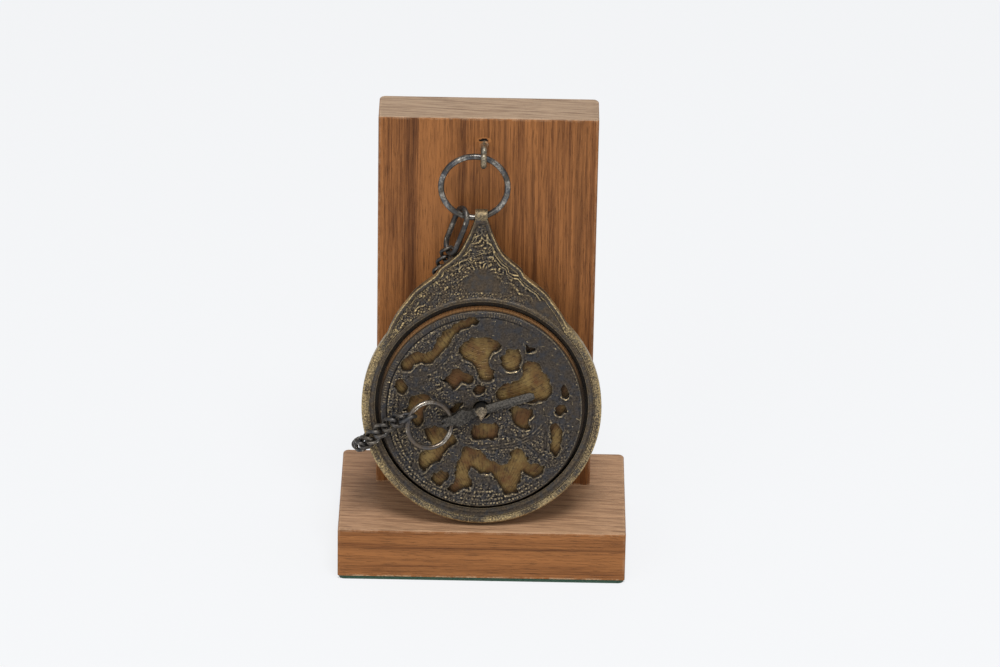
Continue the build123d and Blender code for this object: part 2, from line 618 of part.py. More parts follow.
def in_disc(point):
    """A point of the stand's frame, given in the disc's frame."""
    return DISC_FRAME.to_local_coords(point)


def long_link_frame():
    """The long link hangs on the suspension ring, and leans with the way of the chain."""
    gap = (RING_WIRE + LONG_LINK_WIRE) / 2 + HANG_TOUCH
    hang = in_disc(Vector(LONG_LINK_X, RING_Y, RING_Z - ring_drop(LONG_LINK_X)))
    along = (Vector(*BACK_WAY[0]) - hang).normalized()
    centre = hang + along * (LONG_LINK_LENGTH / 2 - gap)
    return Plane(origin=centre, x_dir=along, z_dir=Vector(0, 0, 1) - along * along.Z)


def long_link():
    slot = SlotCenterToCenter(LONG_LINK_LENGTH - LONG_LINK_WIDTH, LONG_LINK_WIDTH)
    path = slot.face().outer_wire()
    wire = sweep(Plane(origin=path @ 0, z_dir=path % 0) * Circle(LONG_LINK_WIRE / 2), path=path)
    return long_link_frame().location * Rot(LONG_LINK_ROLL, 0, 0) * wire


def back_chain():
    """The run behind the disc, from the long link down to the limb's left edge."""
    frame = long_link_frame()
    inside = (LONG_LINK_WIRE + LINK_WIRE) / 2 + HANG_TOUCH
    overlap = (LINK_WIRE + LINK_PLAY) / 2
    start = frame.origin + frame.x_dir * (LONG_LINK_LENGTH / 2 - inside + overlap)
    frames = link_frames(start, BACK_WAY, -1)
    first = frames[0].location * curb_link(start=LONG_LINK_GRIP)
    link = curb_link()
    return [first] + [place.location * link for place in frames[1:]]


def ring_grip():
    """Where the chain's first link grips the small ring."""
    grip = radians(SMALL_RING_GRIP - SMALL_RING_ANGLE)
    place = Pos(SMALL_RING_R * cos(grip), SMALL_RING_R * sin(grip), 0)
    return (small_ring_place() * place).position


def front_chain():
    """The run over the face, from the small ring to the link at the limb's edge."""
    wire = ring_grip()
    along = (Vector(*FRONT_WAY[0]) - wire).normalized()
    inside = (SMALL_RING_WIRE + LINK_WIRE) / 2 + END_LINK_PLAY + HANG_TOUCH
    overlap = (LINK_WIRE + LINK_PLAY) / 2
    start = wire - along * (inside - overlap)
    frames = link_frames(start, FRONT_WAY, 1)
    first = frames[0].location * curb_link(END_LINK_HALF_WIDTH, END_LINK_GRIP, LINK_TWIST)
    link = curb_link()
    return [first] + [place.location * link for place in frames[1:]]


def all_nodes():
    nodes = {
        "base_board": [base_board()],
        "upright_board": [upright_board()],
        "stand_screws": stand_screws(),
        "felt_pad": [felt_pad()],
        "cup_hook": [cup_hook()],
        "suspension_ring": [suspension_ring()],
        "mater": [place_disc(mater())],
        "plate_lower": [place_disc(plate(LOWER_PLATE_R, -RECESS_DEPTH))],
        "plate_upper": [place_disc(plate(PLATE_R, PLATE_THICKNESS - RECESS_DEPTH))],
        "rete": [place_disc(rete())],
        "pin": [place_disc(pin())],
        "wedge": [place_disc(wedge())],
        "small_ring": [place_disc(small_ring())],
        "alidade_bar": [place_disc(alidade_bar())],
        "sight_vane_upper": [place_disc(sight_vane(1))],
        "sight_vane_lower": [place_disc(sight_vane(-1))],
        "vane_rivets": [place_disc(rivet) for rivet in vane_rivets()],
        "long_link": [place_disc(long_link())],
    }
    for number, link in enumerate(back_chain(), 1):
        nodes[f"back_link_{number:02d}"] = [place_disc(link)]
    for number, link in enumerate(front_chain(), 1):
        nodes[f"front_link_{number:02d}"] = [place_disc(link)]
    return nodes


def write_all():
    os.makedirs("parts", exist_ok=True)
    for name, pieces in all_nodes().items():
        shape = pieces[0] if len(pieces) == 1 else Compound(children=pieces)
        export_step(shape, f"parts/{name}.step")
    print("hook height", round(HOOK_Z, 2), "eye", EYE_X, RING_Y, round(EYE_Z, 2))


write_all()
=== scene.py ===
import json
from math import cos, pi, radians, sin

import bpy
import numpy as np
from mathutils import Matrix, Vector
from mathutils.bvhtree import BVHTree


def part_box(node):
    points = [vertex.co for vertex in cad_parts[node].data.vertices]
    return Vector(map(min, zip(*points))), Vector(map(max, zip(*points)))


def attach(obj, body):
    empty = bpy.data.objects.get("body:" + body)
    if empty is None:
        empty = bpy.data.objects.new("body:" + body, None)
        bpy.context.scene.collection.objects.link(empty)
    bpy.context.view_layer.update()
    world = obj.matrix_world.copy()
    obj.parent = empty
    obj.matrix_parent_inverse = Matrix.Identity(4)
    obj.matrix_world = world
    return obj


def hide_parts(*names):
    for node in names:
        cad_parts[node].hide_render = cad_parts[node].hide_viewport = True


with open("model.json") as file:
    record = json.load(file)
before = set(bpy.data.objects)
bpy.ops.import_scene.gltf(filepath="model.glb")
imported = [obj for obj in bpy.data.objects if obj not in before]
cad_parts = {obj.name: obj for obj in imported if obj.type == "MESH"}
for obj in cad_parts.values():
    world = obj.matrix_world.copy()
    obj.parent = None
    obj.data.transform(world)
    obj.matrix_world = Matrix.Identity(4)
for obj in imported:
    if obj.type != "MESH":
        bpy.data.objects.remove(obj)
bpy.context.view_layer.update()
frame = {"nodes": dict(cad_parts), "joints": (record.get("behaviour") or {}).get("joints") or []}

MM = 0.001

# The camera, in degrees and millimetres: it looks down on the stand from its front
LENS = 192.0
SENSOR = 36.0
CAMERA_PLACE = (5.07, -1749.37, 951.78)
CAMERA_PITCH = 26.33
CAMERA_YAW = -0.01
CAMERA_ROLL = 1.02
CAMERA_REACH = 20

# The stage, with the share of plain colour that the floor shows to the camera, and its lamps:
# each one's place and the side of its square in metres, and its watts
BACKGROUND = (0.925, 0.935, 0.95, 1)
FLOOR_COLOUR = (0.80, 0.81, 0.83, 1)
FLOOR_ROUGHNESS = 0.8
FLOOR_SEEN = 0.86
FLOOR_SIZE = 80.0
WORLD_LIGHT = 0.48
LAMPS = {"key": ((0.15, -0.60, 1.50), 0.6, 18.0), "fill": ((-0.9, -1.3, 0.9), 0.9, 6.0)}
LAMP_TARGET = (0, 0, 0.08)

# The disc's own frame, from the joint that turns the rete: x right, y up the disc, z out of
# its face. Places and sizes on the disc are in this frame, in millimetres.
rete_joint = next(joint for joint in frame["joints"] if joint["name"] == "rete_turn")
DISC_CENTRE = Vector(rete_joint["pos_m"])
FACE_OUT = Vector(rete_joint["axis"]).normalized()
DISC_RIGHT = Vector((1, 0, 0))
DISC_UP = FACE_OUT.cross(DISC_RIGHT)
DISC_AXES = Matrix((DISC_RIGHT, DISC_UP, FACE_OUT)).transposed()
DISC_FRAME = Matrix.Translation(DISC_CENTRE) @ DISC_AXES.to_4x4()

# Grids over the disc's face, and how they are probed and softened at their outlines
FACE_HALF = 45.0
FACE_TOP = 70.5
FACE_STEP = 0.22
RETE_HALF = 38.0
RETE_STEP = 0.22
PROBE_HEIGHT = 8.0
BESIDE = -99.0
EDGE_REACH = 4.0

# The mater's front: the lowest level that is carved, the recess for the plates, the limb's
# scale and the radii where its brass turns from dull to bright, the throne's sunk panel, and
# the height where the eye begins, which is dull
DEEPEST_CARVED = -1.0
RECESS_CENTRE = (0.0, 0.9)
RECESS_EDGE = 38.9
LIMB_SCALE = (41.6, 43.3)
LIMB_TICKS = 250
LIMB_SMOOTH = (40.4, 41.6)
PANEL_DEPTH = (0.2, 0.4)
PANEL_MARGIN = 1.4
EYE_FOOT = 65.5

# Heights and depths of the mater's carving
SKIN_LIFT = 0.05
SKIN_SINK = 0.12
FOLIAGE_HEIGHT = 0.23
FOLIAGE_UNEVEN = 0.03
LIP_HEIGHT = 0.10
SCALE_DEPTH = 0.27
SPECK_HEIGHT = 0.06
PIT_DEPTH = 0.05

# The rete: the scale on its rim, heights and depths of its engraving, how far it is sunk to
# clear the wedge, how its edges are rounded and drawn ragged, and the layer that moves
RETE_SCALE = (34.7, 36.3)
RETE_TICKS = 240
VEIN_HEIGHT = 0.21
TICK_HEIGHT = 0.09
GROOVE_DEPTH = 0.10
GRAIN_HEIGHT = 0.06
UNDER_WEDGE = 0.1
EDGE_ROUNDING = 0.16
RAGGED = 1.3
RETE_THICK = 0.6
MOVED_LAYER = (0.35, 0.05)

# How far a place stands above its surroundings when it counts as fully worn bright, with a
# painted glint, and how many cells of the grid its surroundings reach
FACE_RUB = 0.085
RETE_RUB = 0.08
RUB_CELLS = 4

# Ornament of the throne: its scalloped border at the left and at the right, drawn again
# smaller inside, the stem with its curls (x, y, radius, start in degrees) at the left, which
# are repeated at the right of this axis, and the flower (x, y, reach, number of petals)
THRONE_AXIS = -0.9
LEFT_BORDER = [
    (-0.9, 65.6), (-1.6, 64.3), (-3.6, 63.6), (-5.5, 62.2), (-6.0, 60.0), (-5.6, 58.4),
    (-6.8, 56.8), (-9.4, 55.8), (-9.2, 53.6), (-11.6, 53.0), (-14.6, 51.2), (-14.4, 49.2),
    (-17.4, 47.8), (-19.8, 45.8), (-20.0, 43.8), (-23.4, 41.6), (-26.2, 38.2), (-27.2, 35.6),
    (-30.4, 32.4)]
RIGHT_BORDER = [
    (-0.9, 65.6), (-0.2, 64.3), (1.8, 63.6), (3.6, 62.2), (4.1, 60.0), (3.8, 58.2), (4.9, 55.8),
    (6.8, 53.4), (8.9, 52.4), (9.0, 50.4), (11.2, 49.8), (13.4, 49.2), (14.9, 47.0),
    (16.4, 45.6), (20.1, 43.4), (22.4, 40.6)]
INNER_BORDER = 0.93
STEM = [
    (-3.4, 47.5), (-6.0, 50.0), (-9.2, 47.0), (-12.4, 46.8), (-14.8, 42.6), (-18.4, 42.4),
    (-20.6, 38.4), (-24.0, 37.4), (-26.0, 33.2), (-28.8, 31.8), (-30.6, 27.4)]
CURLS = [
    (-7.6, 51.4, 1.8, 30), (-4.4, 55.6, 1.3, 200), (-11.6, 49.0, 1.5, 150),
    (-16.6, 45.2, 1.6, 100), (-22.0, 40.2, 1.5, 60), (-26.2, 35.8, 1.3, 90)]
CURL_TURNS = 1.35
FLOWER = (-0.9, 49.6, 5.4, 9)

# Lines engraved on the rete, each a curve through a few points
RETE_LINES = [
    [(-33.0, 12.6), (-25.0, 8.4), (-16.0, 3.4), (-9.0, -0.6)],
    [(-33.6, 10.8), (-25.6, 6.6), (-16.8, 1.8), (-9.6, -2.2)],
    [(-7.8, -13.4), (-2.0, -14.0), (6.0, -13.4), (13.0, -12.0), (18.4, -9.4), (22.4, -5.0)],
    [(-7.0, -14.6), (-1.6, -15.2), (6.4, -14.6), (13.8, -13.0), (19.6, -10.0), (23.6, -5.4)],
    [(9.0, 33.0), (17.0, 29.4), (24.0, 23.4), (29.4, 15.6), (31.6, 10.0)],
    [(8.4, 31.4), (16.0, 28.0), (22.6, 22.4), (27.8, 15.0), (30.0, 9.6)],
    [(-2.0, 31.0), (3.0, 29.6), (8.0, 26.6), (11.0, 24.0)],
    [(-24.0, 12.6), (-18.4, 13.8), (-15.4, 16.4), (-11.6, 21.0), (-9.6, 25.2)],
    [(4.8, 12.6), (9.0, 12.4), (13.0, 14.2)],
    [(8.6, -9.0), (14.0, -11.0), (20.0, -15.6), (24.6, -19.6)],
    [(-30.6, 2.6), (-27.4, -3.6), (-26.0, -9.6), (-24.6, -16.0)],
    [(22.6, 1.2), (24.6, -3.4), (23.4, -9.0), (23.6, -14.6)],
]

# Fibres at the felt's edge: how many, their radius at root and tip, their least height
FIBRES = 420
FIBRE_SEED = 7
FIBRE_ROOT = 0.06
FIBRE_TIP = 0.02
FIBRE_MARGIN = 0.15
FIBRE_FLOOR = 0.05

# Wood: the tones of a board (pale, dark, deep), of its upward faces at its left and right, which
# are painted paler as light and sheen on the tops, dark streaks as (place across the board, half
# its width, strength), and the hook's hole, whose inside is painted black as shade
DEEP_WOOD = (0.055, 0.018, 0.006)
UPRIGHT_TONES = ((0.300, 0.118, 0.036), (0.160, 0.058, 0.018), DEEP_WOOD)
UPRIGHT_TOP_LIGHT = ((0.41, 0.29, 0.195, 1), (0.41, 0.29, 0.195, 1))
BASE_TONES = ((0.295, 0.118, 0.037), (0.190, 0.070, 0.021), DEEP_WOOD)
BASE_TOP_LIGHT = ((0.44, 0.26, 0.150, 1), (0.47, 0.28, 0.160, 1))
TOP_LIGHT_SPREAD = (-45, 30)
BARE_WOOD_AND_EDGE_LIGHT = (0.66, 0.46, 0.29, 1)
SPLINTERS = (0.50, 0.20, 0.06, 1)
HOLE_SHADE = (0.006, 0.003, 0.002, 1)
HOLE_HALF = (1.7, 0.8)
HOLE_RISE = 0.3
UPRIGHT_STREAKS = [
    (-29.0, 1.0, 0.35), (-9.0, 0.5, 0.55), (6.5, 0.7, 0.6), (17.0, 0.6, 0.6), (26.0, 0.6, 0.4),
    (34.0, 1.6, 0.55)]

# Metals: the tarnished and the worn bright colour, which also paints glints and highlights, and
# how each wears (see patina)
METALLIC = 0.8
# Near black for patina in the metal's hollows, and for painted shade where surroundings hide a
# point
HOLLOW_AND_SHADE = (0.010, 0.009, 0.008, 1)
METALS = {
    "screw_steel": dict(dark=(0.3, 0.3, 0.29), worn=(0.7, 0.7, 0.68), on_disc=False),
    "hook_brass": dict(dark=(0.17, 0.135, 0.085), worn=(1.0, 0.82, 0.55), on_disc=False,
                       rubbed_from=0.46, rough=(0.15, 0.4)),
    "ring_iron": dict(dark=(0.096, 0.086, 0.073), worn=(1.0, 0.93, 0.82), on_disc=False,
                      rubbed_from=0.49, rough=(0.13, 0.30), speckle=0.9),
    "limb_brass": dict(dark=(0.096, 0.072, 0.050), worn=(0.90, 0.67, 0.32), rubbed_from=0.66,
                       edge=0.35, carved=True, dull_above=EYE_FOOT, dull_inside=LIMB_SMOOTH,
                       painted_shade_reach=2.5),
    "rete_brass": dict(dark=(0.074, 0.060, 0.048), worn=(0.62, 0.48, 0.27), rubbed_from=0.68,
                       edge=0.25, carved=True, painted_shade_reach=1.6),
    "pin_metal": dict(dark=(0.032, 0.029, 0.025), worn=(0.50, 0.40, 0.27), rubbed_from=0.66,
                      rough=(0.2, 0.5), speckle=0.4, edge=0.35),
    "wedge_metal": dict(dark=(0.018, 0.0162, 0.0142), worn=(0.115, 0.103, 0.088),
                        rough=(0.3, 0.5), speckle=0.6),
    "small_ring_metal": dict(dark=(0.14, 0.108, 0.080), worn=(1.0, 0.93, 0.80),
                             rubbed_from=0.49, rough=(0.13, 0.28), speckle=0.8),
    "alidade_brass": dict(dark=(0.15, 0.11, 0.06), worn=(0.55, 0.42, 0.20)),
    "chain_iron": dict(dark=(0.072, 0.061, 0.050), worn=(0.75, 0.68, 0.57), rubbed_from=0.54,
                       rough=(0.22, 0.5), speckle=0.8),
}
METAL_NODES = {
    "screw_steel": ["stand_screws"],
    "hook_brass": ["cup_hook"],
    "ring_iron": ["suspension_ring"],
    "limb_brass": ["mater"],
    "pin_metal": ["pin"],
    "wedge_metal": ["wedge"],
    "small_ring_metal": ["small_ring"],
    "alidade_brass": ["alidade_bar", "sight_vane_upper", "sight_vane_lower", "vane_rivets"],
    "chain_iron": [name for name in frame["nodes"] if "_link" in name],
}

# The golden plate: its tones from dark to pale, its stains and lines, the painted shade in its
# corners, its rim painted dark as shade in the recess and orange only at the top where light
# reaches it, the middles of its engraved arcs and rays, and the places that are tarnished red
# (x, y and reach)
PLATE_TONES = ((0.36, (0.125, 0.054, 0.017)), (0.48, (0.180, 0.104, 0.032)),
               (0.61, (0.245, 0.162, 0.054)))
PLATE_STAIN = (0.07, 0.042, 0.020, 1)
PLATE_SPECK = (0.09, 0.048, 0.018, 1)
PLATE_LINE = (0.06, 0.032, 0.012, 1)
PLATE_CORNER_SHADE = (0.030, 0.016, 0.007, 1)
PLATE_RED = (0.115, 0.046, 0.014, 1)
PLATE_RIM = (35.5, 36.5)
RIM_SHADE = (0.035, 0.024, 0.014, 1)
RIM_LIT_ORANGE = (0.42, 0.215, 0.085, 1)
ARC_CENTRE = (2.5, 36.0)
ARC_STEP = 1.3
RAY_CENTRE = (3.0, -44.0)
RAYS = 24.0
LINE_WIDTH = (0.14, 0.05)
RED_SPOTS = [(-9.5, 11.5, 5.0), (0.0, 7.8, 2.6), (28.8, 7.2, 3.0), (27.0, 0.5, 3.0),
             (14.8, -3.2, 4.0), (-20.0, -1.0, 5.5), (4.6, -9.8, 2.8)]

# Felt: its tones from dark to pale
FELT_TONES = ((0.3, (0.008, 0.030, 0.018)), (0.7, (0.035, 0.12, 0.065)))


# Shader trees

class Shade:
    """A material's node tree, with short calls for the nodes used here."""

    def __init__(self, name):
        self.material = bpy.data.materials.new(name)
        self.material.use_nodes = True
        self.tree = self.material.node_tree
        self.shader = self.tree.nodes["Principled BSDF"]

    def put(self, socket, value):
        """Link a socket into another one, or set its value."""
        if isinstance(value, bpy.types.NodeSocket):
            self.tree.links.new(value, socket)
        else:
            socket.default_value = value

    def node(self, kind, values=(), **settings):
        """A node with its settings, and its inputs given by name or number."""
        made = self.tree.nodes.new("ShaderNode" + kind)
        for key, value in settings.items():
            setattr(made, key, value)
        for key, value in dict(values).items():
            self.put(made.inputs[key], value)
        return made

    def math(self, operation, first, second=0.0):
        return self.node("Math", {0: first, 1: second}, operation=operation).outputs[0]

    def vector(self, operation, first, second):
        return self.node("VectorMath", {0: first, 1: second}, operation=operation).outputs[0]

    def dot(self, first, second):
        made = self.node("VectorMath", {0: first, 1: second}, operation="DOT_PRODUCT")
        return made.outputs["Value"]

    def length(self, vector):
        return self.node("VectorMath", {0: vector}, operation="LENGTH").outputs["Value"]

    def scaled(self, place, factor):
        made = self.node("VectorMath", {0: place}, operation="SCALE")
        made.inputs["Scale"].default_value = factor
        return made.outputs[0]

    def mix(self, factor, first, second):
        """A mix of two colours."""
        made = self.node("Mix", {0: factor}, data_type="RGBA")
        self.put(made.inputs[6], first)
        self.put(made.inputs[7], second)
        return made.outputs[2]

    def ramp(self, factor, stops):
        """A colour ramp, with stops given as (place, colour)."""
        made = self.node("ValToRGB", {0: factor})
        ramp = made.color_ramp
        while len(ramp.elements) < len(stops):
            ramp.elements.new(0.5)
        for element, (place, colour) in zip(ramp.elements, stops):
            element.position = place
            element.color = (*colour, 1)
        return made.outputs[0]

    def span(self, value, low, high, to_low=0.0, to_high=1.0):
        """A value moved from one range to another, kept inside it."""
        values = {0: value, 1: low, 2: high, 3: to_low, 4: to_high}
        return self.node("MapRange", values).outputs[0]

    def noise(self, place, scale, detail=3.0, rough=0.55, distortion=0.0):
        values = {"Vector": place, "Scale": scale, "Detail": detail, "Roughness": rough,
                  "Distortion": distortion}
        return self.node("TexNoise", values).outputs[0]

    def object_place(self):
        """Where the point is in the stand's frame, in millimetres."""
        return self.scaled(self.node("TexCoord").outputs["Object"], 1 / MM)

    def disc_place(self):
        """Where the point is in the disc's frame, in millimetres."""
        place = self.node("TexCoord").outputs["Object"]
        moved = self.vector("SUBTRACT", place, tuple(DISC_CENTRE))
        parts = {i: self.dot(moved, tuple(axis))
                 for i, axis in enumerate((DISC_RIGHT, DISC_UP, FACE_OUT))}
        return self.scaled(self.node("CombineXYZ", parts).outputs[0], 1 / MM)

    def split(self, vector):
        return self.node("SeparateXYZ", {0: vector}).outputs

    def stretched(self, place, stretch, turn=(0, 0, 0)):
        """A place turned, in degrees, and then stretched along each axis."""
        turned = self.node("Mapping", {"Vector": place, "Rotation": [radians(a) for a in turn]})
        return self.node("Mapping", {"Vector": turned.outputs[0], "Scale": stretch}).outputs[0]

    def edge_wear_and_highlight(self, radius_mm):
        """How far a point is on an edge, which is worn and also painted with a highlight: 0 on a
        flat, 1 on a sharp edge.
        """
        rounded = self.node("Bevel", {"Radius": radius_mm * MM}, samples=6).outputs[0]
        normal = self.node("NewGeometry").outputs["Normal"]
        return self.span(self.dot(rounded, normal), 0.995, 0.90)

    def shelter(self, reach_mm):
        """How far a point is hidden by what stands round it: 0 in the open, 1 in a corner; the
        shaders paint shade with it.
        """
        seen = self.node("AmbientOcclusion", {"Distance": reach_mm * MM}, samples=8)
        return self.math("SUBTRACT", 1.0, seen.outputs["AO"])

    def bump(self, height, distance_mm, strength):
        values = {"Height": height, "Distance": distance_mm * MM, "Strength": strength}
        return self.node("Bump", values).outputs[0]

    def finish(self, colour, roughness, metallic=0.0, normal=None, **others):
        """Set the shader's own sockets and give the material."""
        values = {"Base Color": colour, "Roughness": roughness, "Metallic": metallic, **others}
        if normal is not None:
            values["Normal"] = normal
        for key, value in values.items():
            self.put(self.shader.inputs[key], value)
        return self.material


def dress(material, *names):
    """Give a material to CAD nodes."""
    for name in names:
        slots = frame["nodes"][name].data.materials
        slots.clear()
        slots.append(material)


# Patterns worked out on arrays of places in the disc's frame. Each has a seed of its own.

def lattice(seed):
    return np.random.RandomState(seed).rand(64, 64)


def clouds(x, y, size, seed):
    """Smooth noise from 0 to 1 with spots of a size."""
    table = lattice(seed)
    u, v = x / size, y / size
    column, row = np.floor(u).astype(int), np.floor(v).astype(int)
    s, t = u - column, v - row
    s, t = s * s * (3 - 2 * s), t * t * (3 - 2 * t)
    low = table[column % 64, row % 64] * (1 - s) + table[(column + 1) % 64, row % 64] * s
    high = (table[column % 64, (row + 1) % 64] * (1 - s)
            + table[(column + 1) % 64, (row + 1) % 64] * s)
    return low * (1 - t) + high * t


def crevices(x, y, size, seed):
    """How far a place is from the lines between scattered cells, from 0 on a line."""
    table_x, table_y = lattice(seed), lattice(seed + 1)
    u, v = x / size, y / size
    column, row = np.floor(u).astype(int), np.floor(v).astype(int)
    nearest = np.full(x.shape, 9.0)
    second = np.full(x.shape, 9.0)
    for step_u in (-1, 0, 1):
        for step_v in (-1, 0, 1):
            i, j = column + step_u, row + step_v
            away = np.hypot(i + table_x[i % 64, j % 64] - u, j + table_y[i % 64, j % 64] - v)
            second = np.minimum(second, np.maximum(nearest, away))
            nearest = np.minimum(nearest, away)
    return second - nearest


def smooth(value, low, high):
    """A smooth step from 0 at the first bound to 1 at the second, which may be the lower."""
    t = np.clip((value - low) / (high - low), 0, 1)
    return t * t * (3 - 2 * t)


def line_at(value, place, half, flat):
    """1 where a value is nearer to a place than flat, falling to 0 at half."""
    return smooth(np.abs(value - place), half, flat)


def at_least(least, pattern):
    """A pattern from 0 to 1 squeezed so that it never falls below a least value."""
    return least + (1 - least) * pattern


def waves(value, length):
    """A wave from 0 to 1 with its top at 0."""
    return 0.5 + 0.5 * np.cos(2 * pi * value / length)


def scrolls(x, y, width, seed):
    """Raised lines that wander like tendrils."""
    bend = 3.2 * width
    u = x + bend * (clouds(x, y, 4.5 * width, seed) - 0.5)
    v = y + bend * (clouds(x, y, 4.5 * width, seed + 1) - 0.5)
    return waves(9 * clouds(u, v, 5 * width, seed + 2), 1)


def around(x, y, count):
    """How many of a circle's equal parts lie between the disc's top and a place."""
    return np.arctan2(x, y) / (2 * pi) * count


def rounded_way(points):
    """A smooth way near the given points, made by cutting its corners three times."""
    way = np.array(points, dtype=float)
    for _ in range(3):
        near = 0.75 * way[:-1] + 0.25 * way[1:]
        far = 0.25 * way[:-1] + 0.75 * way[1:]
        inner = np.stack([near, far], axis=1).reshape(-1, 2)
        way = np.concatenate([way[:1], inner[1:-1], way[-1:]])
    return way


def curl(x, y, radius, start, side):
    """A way that winds inwards to a place."""
    share = np.linspace(0, 1, 22)
    angle = radians(start) + side * share * 2 * pi * CURL_TURNS
    reach = radius * (1 - 0.85 * share)
    return np.stack([x + side * reach * np.cos(angle), y + reach * np.sin(angle)], axis=1)


def from_ways(x, y, ways, reach):
    """Distance of each place from the nearest of some lines, up to a reach."""
    far = np.full(x.shape, reach)
    for way in ways:
        for start, end in zip(way[:-1], way[1:]):
            low, high = np.minimum(start, end) - reach, np.maximum(start, end) + reach
            near = (x > low[0]) & (x < high[0]) & (y > low[1]) & (y < high[1])
            along = end - start
            u, v = x[near] - start[0], y[near] - start[1]
            share = np.clip((u * along[0] + v * along[1]) / max(along @ along, 1e-9), 0, 1)
            away = np.hypot(u - share * along[0], v - share * along[1])
            far[near] = np.minimum(far[near], away)
    return far


# Grids over the disc's face

def face_grid(left, right, bottom, top, step):
    return np.meshgrid(np.arange(left, right, step), np.arange(bottom, top, step),
                       indexing="ij")


def blurred(values, cells):
    """A grid's mean over a square of cells."""
    for axis in (0, 1):
        total = np.zeros_like(values)
        for shift in range(-cells, cells + 1):
            total += np.roll(values, shift, axis)
        values = total / (2 * cells + 1)
    return values


def picked(values, x, y, half, step):
    """A grid's values at scattered places."""
    column, row = (x + half) / step, (y + half) / step
    i = np.clip(np.floor(column).astype(int), 0, values.shape[0] - 2)
    j = np.clip(np.floor(row).astype(int), 0, values.shape[1] - 2)
    s, t = np.clip(column - i, 0, 1), np.clip(row - j, 0, 1)
    return ((values[i, j] * (1 - s) + values[i + 1, j] * s) * (1 - t)
            + (values[i, j + 1] * (1 - s) + values[i + 1, j + 1] * s) * t)


def from_edge(inside, step, reach):
    """Distance of each place of a grid from the nearest place that isn't inside."""
    far = np.where(inside, reach, 0.0)
    for _ in range(int(reach / step)):
        for axis in (0, 1):
            for way in (-1, 1):
                far = np.minimum(far, np.roll(far, way, axis) + step)
        for way in (-1, 1):
            for other in (-1, 1):
                diagonal = np.roll(np.roll(far, way, 0), other, 1)
                far = np.minimum(far, diagonal + step * 1.414)
    return far


def probe(node, x, y):
    """Heights of a node's front surface over a grid of the disc's face."""
    mesh = frame["nodes"][node].data
    tree = BVHTree.FromPolygons([v.co for v in mesh.vertices],
                                [p.vertices for p in mesh.polygons])
    heights = np.full(x.shape, BESIDE)
    for index in np.ndindex(x.shape):
        place = DISC_FRAME @ Vector((x[index] * MM, y[index] * MM, PROBE_HEIGHT * MM))
        hit = tree.ray_cast(place, -FACE_OUT)
        if hit[0] is not None:
            heights[index] = PROBE_HEIGHT - hit[3] / MM
    return heights


# Pieces of mesh

def on_stand(points):
    """Points of the disc's frame, in millimetres, moved to the stand's frame in metres."""
    return points * MM @ np.array(DISC_AXES).T + np.array(DISC_CENTRE)


def new_piece(mesh, material, body):
    """An object for a mesh, which rides on a body."""
    mesh.materials.clear()
    mesh.materials.append(material)
    made = bpy.data.objects.new(mesh.name, mesh)
    bpy.context.collection.objects.link(made)
    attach(made, body)
    return made


def carve_marks(mesh, rub_and_glint):
    """Smooth faces, and on each point how far it stands above its surroundings, which the patina
    reads:
    raised places are worn bright with a painted glint, sunk ones dark with patina."""
    mesh.polygons.foreach_set("use_smooth", [True] * len(mesh.polygons))
    marks = mesh.attributes.new("rub_and_glint", "FLOAT", "POINT")
    marks.data.foreach_set("value", rub_and_glint)


# The carved face of the mater

def throne_borders():
    """The double line that follows the throne's outline in scallops."""
    ways = []
    for line in (LEFT_BORDER, RIGHT_BORDER):
        low = line[-1][1]
        inner = [(THRONE_AXIS + INNER_BORDER * (x - THRONE_AXIS), low + INNER_BORDER * (y - low))
                 for x, y in line]
        ways += [rounded_way(line), rounded_way(inner)]
    return ways


def throne_foliage():
    """Stems with curls at both sides of the throne, and a flower between them."""
    ways = []
    for side in (1, -1):
        ways.append(rounded_way([((x - THRONE_AXIS) * side + THRONE_AXIS, y) for x, y in STEM]))
        for x, y, radius, start in CURLS:
            ways.append(curl((x - THRONE_AXIS) * side + THRONE_AXIS, y, radius, start, side))
    x, y, reach, petals = FLOWER
    for petal in range(petals):
        turn = radians(-80 + 160 * petal / (petals - 1))
        ways.append(rounded_way([
            (x + 0.3 * reach * sin(turn), y + 0.3 * reach * cos(turn)),
            (x + 0.7 * reach * sin(turn - 0.15), y + 0.7 * reach * cos(turn - 0.15)),
            (x + reach * sin(turn), y + reach * cos(turn))]))
    return ways


